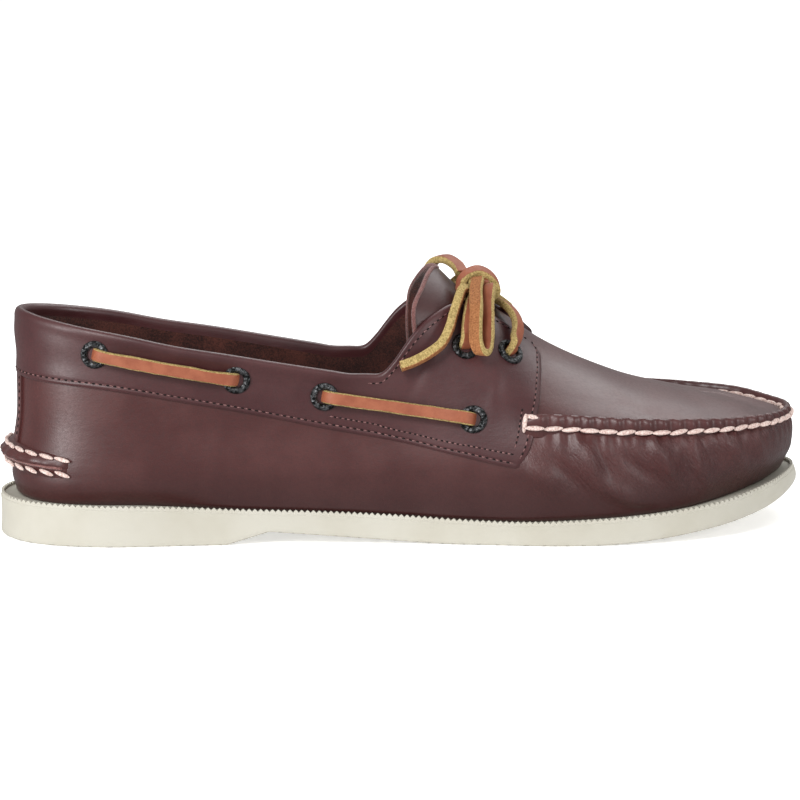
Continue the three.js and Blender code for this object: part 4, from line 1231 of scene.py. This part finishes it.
def dress_plug():
    """The plug on top of the forefoot, which runs back under the eyestays as the tongue."""
    a = np.concatenate([np.linspace(0, 0.01, 6), np.linspace(0.01, 1, 300)[1:]])
    b = np.linspace(-1, 1, 121)
    a, b = np.meshgrid(a, b, indexing="ij")
    w, level = plug_place(a, b)
    rest = on_last(w, level)
    out = -TONGUE_DROP * (1 - smooth(rest[..., 0], 0.014, 0.042))
    crest = np.exp(-(((CROWN - level) / 1.3) ** 2)) * (1 - smooth(rest[..., 0], 0.012, 0.022))
    out = out + TONGUE_ARCH * crest
    face = on_last(w, level, out)
    under_rows = 40
    under = on_last(w, level, out - WALL)[under_rows::-1]
    lip = [
        on_last(w[:1], level[:1], out[:1] - down * MM)[0] - np.array([back * MM, 0, 0])
        for down, back in ((1.5, 0.35), (1.0, 0.5), (0.5, 0.35))
    ]
    points = np.concatenate([under, np.stack(lip), face], 0)
    piece = sheet("plug_and_tongue", points)
    suede_rows = under_rows + len(lip)
    strips = np.arange(len(piece.data.polygons)) % (len(points) - 1)
    piece.data.polygons.foreach_set("material_index", (strips < suede_rows).astype(np.int32))
    finish(weld(piece, 1e-6), (UPPER, LINING), ["tongue"], angle=60)
    edge = face[0][face[0, :, 2] > TONGUE_LOWEST] + np.array([-0.3 * MM, 0, 0])
    cut = tube("tongue_edge", even_path(edge, 0.8 * MM), 0.85 * MM)
    finish(cut, RAW_EDGE, angle=60)


def dress_lining():
    """The inside of the upper, up to the collar's roll and over the toes."""
    w = np.linspace(-TOE, TOE, 420)
    t = np.linspace(0, 1, 40)
    w, t = np.meshgrid(w, t, indexing="ij")
    x = last_point(w, np.full(w.shape, 3.0))[..., 0]
    top = throat_level(w) - 0.12
    share = smooth(x, 0.036, 0.05)
    level = (top * (1 - share) + CROWN * share) * t
    points = on_last(w, level, np.full(w.shape, -WALL - 0.05 * MM))
    piece = sheet("lining", points)
    finish(piece, LINING, angle=60)


def dress_insole():
    """A flat sock inside, with a soft rounded edge."""
    w = np.linspace(0.25, TOE - 0.25, 120)
    across = np.linspace(0, 1, 34)
    outer, inner = [
        on_last(side * w, np.full(w.shape, 0.3), np.full(w.shape, -WALL - 2 * CLEARANCE))
        for side in SIDES
    ]
    points = outer[:, None] + (inner - outer)[:, None] * across[None, :, None]
    edge = 1 - (2 * np.abs(across - 0.5)) ** 10
    ends = 1 - (2 * np.abs(np.linspace(0, 1, len(w)) - 0.5)) ** 30
    rise = 1.2 * MM + 1.8 * MM * edge[None] * ends[:, None]
    points[..., 2] = sole_top(points[..., 0]) + CLEARANCE + rise
    finish(sheet("insole_sock", points), LINING, ["insole"], angle=60)


dress_band()
dress_wall()
dress_plug()
dress_lining()
dress_insole()


# Sewn ridges
def seam_frames(w, level, spacing):
    """Even places along a line on the last: point, outward in plan, and run."""
    run = run_along(on_last(w, level))
    at = np.linspace(0, run[-1], int(run[-1] / spacing) + 1)
    w_at = np.interp(at, run, w)
    level_at = np.interp(at, run, level)
    return on_last(w_at, level_at), outward(w_at), at


RIDGE_REAR = 6.63  # where round the shoe it ends
RIDGE_TALL, RIDGE_LOW = 6.1 * MM, 4.2 * MM  # its height by its ends and round the toe


def dress_forefoot_ridge():
    """The sewn ridge, gathered into small puckers; its rear ends lie over the eyestays."""
    rounds = np.concatenate([
        np.linspace(AROUND - RIDGE_REAR, TOE, 400), np.linspace(TOE, RIDGE_REAR, 400)[1:],
    ])
    at, out, run = seam_frames(rounds, np.full(rounds.shape, float(SEAM)), 0.45 * MM)
    from_end = np.minimum(run, run[-1] - run)
    over = 1 - smooth(from_end, 5 * MM, 9 * MM)
    at = at + out * (1.3 * MM * over)[:, None]
    gather = np.cos(2 * math.pi * run / PUCKER + 0.9 * wobble(run, 5, 16 * MM))
    gather = gather * smooth(from_end, 3 * MM, 10 * MM)
    gather = gather * (1 - 0.65 * smooth(at[:, 1], -5 * MM, 12 * MM))
    tall = RIDGE_LOW + (RIDGE_TALL - RIDGE_LOW) * (1 - smooth(from_end, 30 * MM, 120 * MM))
    tall = tall * (0.72 + 0.28 * smooth(from_end, 0, 5 * MM)) + 0.1 * MM * gather
    deep = RIDGE_DEPTH / 2
    bulge = 0.5 * MM * gather
    section = [
        (deep - 0.9 * MM, -2.4 * MM, 0), (deep - 0.3 * MM, -0.8 * MM, 0),
        (deep - 0.1 * MM, 0.2, 0.1), (deep + 0.15 * MM, 0.44, 1.0), (deep, 0.72, 1.1),
        (0.55 * deep, 0.95, 0.6), (0, 1.02, 0.2), (-0.55 * deep, 0.95, -0.2), (-deep, 0.72, -0.5),
        (-deep - 0.1 * MM, 0.35, -0.5), (-deep - 0.3 * MM, 0.02, -0.2),
        (-deep - 0.4 * MM, -2 * MM, 0),
    ]
    rings = []
    for across, up, share in section:
        height = tall * up if abs(up) > 0.01 else np.full(run.shape, up)
        ring = at + out * (across + bulge * share)[:, None]
        ring[:, 2] += height
        rings.append(ring)
    points = np.stack(rings, 1)
    points = capped(points, points[[0, -1]].mean(1))
    piece = weld(sheet("moccasin_ridge", points, turned=True))
    finish(piece, UPPER, angle=60)
    return at, out, run


def capsule(length, thick, segments=10, rings=7):
    """One stitch, lying along X at the origin: its vertices and faces."""
    deselect()
    bpy.ops.mesh.primitive_uv_sphere_add(segments=segments, ring_count=rings, radius=0.5)
    stitch = bpy.context.object
    bpy.ops.object.mode_set(mode="EDIT")
    bpy.ops.mesh.select_all(action="SELECT")
    bpy.ops.transform.rotate(
        value=math.pi / 2, orient_axis="Y", center_override=(0, 0, 0), orient_type="GLOBAL"
    )
    bpy.ops.transform.resize(value=(length, thick, thick), center_override=(0, 0, 0))
    bpy.ops.object.mode_set(mode="OBJECT")
    points = np.empty(len(stitch.data.vertices) * 3)
    stitch.data.vertices.foreach_get("co", points)
    faces = [tuple(face.vertices) for face in stitch.data.polygons]
    data = stitch.data
    bpy.data.objects.remove(stitch)
    bpy.data.meshes.remove(data)
    return points.reshape(-1, 3), faces


def sew(name, stitch, places, material):
    """Copies of one stitch, one at each (point, along, normal), as one piece."""
    points, faces = stitch
    all_points, all_faces = [], []
    for at, along, normal in places:
        along = unit(np.asarray(along))
        across = unit(np.cross(normal, along))
        up = np.cross(along, across)
        frame_of = np.stack([along, across, up])
        start = len(all_points) * len(points)
        all_points.append(points @ frame_of + at)
        all_faces += [tuple(i + start for i in face) for face in faces]
    mesh = bpy.data.meshes.new(name)
    mesh.from_pydata(np.concatenate(all_points).tolist(), [], all_faces)
    piece = bpy.data.objects.new(name, mesh)
    bpy.context.collection.objects.link(piece)
    finish(piece, material, angle=60)


STITCH = 6.6 * MM  # from each stitch to the next
STITCH_SIZE, HEEL_STITCH_SIZE = (7.3 * MM, 1.9 * MM), (6.4 * MM, 1.7 * MM)  # length and thickness


def dress_forefoot_stitches(at, out, run):
    """Thick pale whip stitches on both faces of the ridge, each a little over the next."""
    stitch = capsule(*STITCH_SIZE)
    rng = np.random.default_rng(11)
    up = np.array([0, 0, 1.0])
    places = []
    for middle in np.arange(3.4 * MM, run[-1] - 3 * MM, STITCH):
        point, ahead, side = [
            np.array([np.interp(middle + by, run, a[:, k]) for k in range(3)])
            for a, by in ((at, 0), (at, 1 * MM), (out, 0))
        ]
        ahead = unit(ahead - point)
        lean = rng.uniform(0.02, 0.2)
        places.append((point + side * 1.75 * MM + up * 1.2 * MM, ahead + up * lean, side))
        places.append((point - side * 1.7 * MM + up * 2.0 * MM, ahead - up * lean, -side))
    for k, way in ((0, 1), (-1, -1)):
        ahead = unit(at[way * 8 + k] - at[k])
        down_end = at[k] + out[k] * 0.9 * MM - ahead * 0.2 * MM + up * 2.6 * MM
        on_top = at[k] + out[k] * 0.2 * MM + ahead * 3.0 * MM + up * 4.9 * MM
        places.append((down_end, up + ahead * 0.1, out[k]))
        places.append((on_top, ahead - up * 0.12, up))
    sew("moccasin_stitches", stitch, places, WHITE_THREAD)


HEEL_RIDGE_END = 1.74  # where round the shoe it ends
HEEL_RIDGE_UP = 0.158  # its share of the last's height
HEEL_RIDGE_TALL = 4.5 * MM
HEEL_STITCH = 6.2 * MM


def heel_level(w, up):
    """The level at the back of the shoe that is a share of the last's height up."""
    return level_where(w, lambda x: height_of(x, up), 0.3, 3.0)


def dress_heel_ridge():
    """The shorter ridge round the back, two lips sewn together, with stitches over and under."""
    w = np.linspace(-HEEL_RIDGE_END, HEEL_RIDGE_END, 200)
    level = heel_level(w, HEEL_RIDGE_UP - 0.008 * w * w)
    base = on_last(w, level)
    out = outward(w)
    share = np.linspace(0, 1, len(w))
    fade = np.sin(math.pi * share) ** 0.62
    run = run_along(base)
    gather = np.cos(2 * math.pi * run / HEEL_STITCH)
    depth = (-1.7 + 6.5 * fade) * MM + 0.22 * MM * gather * fade
    tall = HEEL_RIDGE_TALL * (0.5 + 0.5 * fade**0.5)
    section = [
        (-0.25, -1.2), (0.16, -1.12), (0.3, -0.8), (0.52, -0.5), (0.72, -0.28), (0.78, -0.16),
        (0.66, -0.1), (0.68, -0.04), (0.94, 0.0), (1.02, 0.14), (0.96, 0.36), (0.72, 0.6),
        (0.4, 0.82), (0.16, 1.0), (-0.25, 1.15),
    ]
    sunk = 1.6 * MM * (1 - smooth(np.minimum(share, 1 - share), 0, 0.07))
    rings = []
    for across, up in section:
        reach = depth * across if across > 0 else -0.25 * np.abs(depth) - 1.8 * MM
        ring = base + out * (reach - sunk)[:, None]
        ring[:, 2] += tall * up
        rings.append(ring)
    points = np.stack(rings, 1)
    points = capped(points, points[[0, -1]].mean(1) - out[[0, -1]] * MM)
    piece = weld(sheet("heel_ridge", points))
    finish(piece, UPPER, angle=60)
    cut = base + out * (depth * 0.8)[:, None]
    cut[:, 2] -= tall * 0.08
    finish(tube("heel_cut_edge", cut[14:-14], 0.55 * MM), RAW_EDGE, angle=60)
    stitch = capsule(*HEEL_STITCH_SIZE)
    places = []
    for up, across, lean in ((0.86, 0.42, 0.1), (-0.62, 0.46, 0.2)):
        for middle in np.arange(6.6 * MM, run[-1] - 5.5 * MM, HEEL_STITCH):
            i = int(np.searchsorted(run, middle))
            ahead = unit(base[min(i + 3, len(base) - 1)] - base[max(i - 3, 0)])
            point = base[i] + out[i] * (depth[i] * across + 0.5 * MM)
            point = point + np.array([0, 0, tall[i] * up])
            places.append((point, ahead + np.array([0, 0, lean]), out[i]))
    sew("heel_stitches", stitch, places, WHITE_THREAD)


def strip_edge(width):
    """The place round the shoe at which the strip over the back seam ends."""
    def past(w):
        return last_point(w, np.full(1, 2.5))[..., 1] - width / 2

    return float(bisect(past, np.zeros(1), np.full(1, 2.0))[0])


STRIP_EDGE = strip_edge(14 * MM)


def dress_heel_strip():
    """The narrow strip over the back seam."""
    edge = STRIP_EDGE
    w = np.concatenate([[-edge, -edge], np.linspace(-edge, edge, 40), [edge, edge]])
    low = heel_level(w, HEEL_RIDGE_UP)
    high = level_where(w, lambda x: BAND_EDGE(x) + 0.003)
    t = np.linspace(0, 1, 40)
    level = low[:, None] + (high - low)[:, None] * t
    out = np.full(level.shape, STRIP)
    out[0] = out[-1] = -0.2 * MM
    out[1] = out[-2] = 0.45 * MM
    piece = sheet("heel_strip", on_last(np.repeat(w[:, None], len(t), 1), level, out))
    finish(piece, UPPER, angle=40)


ridge_at, ridge_out, ridge_run = dress_forefoot_ridge()
dress_forefoot_stitches(ridge_at, ridge_out, ridge_run)
dress_heel_ridge()
dress_heel_strip()


# Fine stitching
def stitch_line(w, level, out, pitch):
    """Places of small stitches along a line on the leather."""
    run = run_along(on_last(w, level))
    at = np.arange(pitch, run[-1] - pitch / 2, pitch)
    w_at, level_at = np.interp(at, run, w), np.interp(at, run, level)
    w_on, level_on = np.interp(at + 0.4 * MM, run, w), np.interp(at + 0.4 * MM, run, level)
    points = on_last(w_at, level_at, np.full(at.shape, out))
    ahead = on_last(w_on, level_on, np.full(at.shape, out)) - points
    normals = last_normal(w_at, level_at)
    return list(zip(points, ahead, normals))


PITCH, FINE_PITCH = 2.6 * MM, 2.0 * MM
SECOND_ROW = 5.6 * MM  # from the band's lower edge, on the eyestays
FIRST_FRONT, SECOND_FRONT = 0.991, 0.972  # how far the rows are along to the band's front


def band_reach(s, more):
    """How far it is from the band's lower edge to its free edge, and a little more."""
    low = on_last(*band_place(s, 0 * s))
    high = on_last(*band_place(s, 0 * s + 1))
    return np.linalg.norm(high - low, axis=-1) + more


def stitch_rows():
    """The stitch rows: round the band's lower edge and throat, the eyestays and the strip."""
    places = []

    def row(s, t, out, pitch=PITCH):
        places.extend(stitch_line(*band_place(s, t), OVERLAY + out, pitch))

    s = np.linspace(-0.995, 0.995, 700)
    row(s, BAND_ROW / band_reach(s, 3 * MM), -0.12 * MM)
    for side in SIDES:
        row(side * FIRST_FRONT, np.linspace(0.04, 0.97, 160), 0.02 * MM)
        s = side * np.linspace(0.66, 0.99, 220)
        row(s, 1 - BAND_ROW / band_reach(s, 4 * MM), 0.02 * MM)
        s = side * np.linspace(0.6, SECOND_FRONT, 200)
        row(s, SECOND_ROW / band_reach(s, 3 * MM), 0, FINE_PITCH)
        row(side * SECOND_FRONT, np.linspace(0.12, 0.42, 60), 0, FINE_PITCH)
        w = np.full(60, side * (STRIP_EDGE - 0.09))
        low = heel_level(w, HEEL_RIDGE_UP + 0.04)
        high = level_where(w, BAND_EDGE)
        level = low + (high - low) * np.linspace(0, 1, 60)
        places += stitch_line(w, level, STRIP + 0.02 * MM, PITCH)
    return places


def sew_rows():
    """Small stitches, with painted shade for the pinhole between each and the next."""
    rows = stitch_rows()
    sew("fine_stitches", capsule(1.5 * MM, 0.46 * MM, 6, 5), rows, PINK_THREAD)
    # Painted shade: a dark capsule in each needle hole.
    pinhole_shade_places = [(at + unit(ahead) * 1.3 * MM, ahead, normal) for at, ahead, normal in rows]
    sew("painted_pinhole_shade", capsule(1.15 * MM, 0.62 * MM, 6, 5), pinhole_shade_places, PINHOLE_SHADE)


sew_rows()


# Eyelets
# Millimetres from the middle and out of the leather.
EYELET_PROFILE = [
    (5.1, 0.0), (5.1, 0.25), (4.85, 0.75), (4.3, 1.1), (3.6, 1.2), (3.0, 0.95), (2.65, 0.4),
    (2.55, -0.4), (2.55, -2.1), (2.85, -2.4), (3.3, -2.4), (3.3, -0.1), (5.1, 0.0),
]


def turn_eyelet():
    """One eyelet, turned about Z at the origin."""
    deselect()
    first = EYELET_PROFILE[0]
    bpy.ops.mesh.primitive_circle_add(vertices=40, radius=first[0] * MM, location=(0, 0, 0))
    piece = bpy.context.object
    bpy.ops.object.mode_set(mode="EDIT")
    bpy.ops.mesh.select_all(action="SELECT")
    for (r0, z0), (r1, z1) in zip(EYELET_PROFILE, EYELET_PROFILE[1:]):
        bpy.ops.mesh.extrude_edges_move(TRANSFORM_OT_translate={"value": (0, 0, (z1 - z0) * MM)})
        bpy.ops.transform.resize(value=(r1 / r0, r1 / r0, 1))
    bpy.ops.mesh.select_all(action="SELECT")
    bpy.ops.mesh.remove_doubles(threshold=1e-5)
    bpy.ops.mesh.normals_make_consistent(inside=False)
    bpy.ops.object.mode_set(mode="OBJECT")
    return piece


def dress_eyelets():
    """A copy of the one eyelet at each place, square to the leather there."""
    model = turn_eyelet()
    for side in SIDES:
        for name in EYELETS:
            at, normal = seat(name, side, OVERLAY + 0.05 * MM)
            where = f"{SIDE_NAMES[side]}_{name}"
            piece = bpy.data.objects.new(f"ring_{where}", model.data.copy())
            piece.data.name = piece.name
            bpy.context.collection.objects.link(piece)
            turn = Vector((0, 0, 1)).rotation_difference(Vector(normal)).to_matrix().to_4x4()
            piece.data.transform(Matrix.Translation(Vector(at)) @ turn)
            finish(piece, METAL, [f"eyelet_{where}"])
    bpy.data.objects.remove(model)


dress_eyelets()
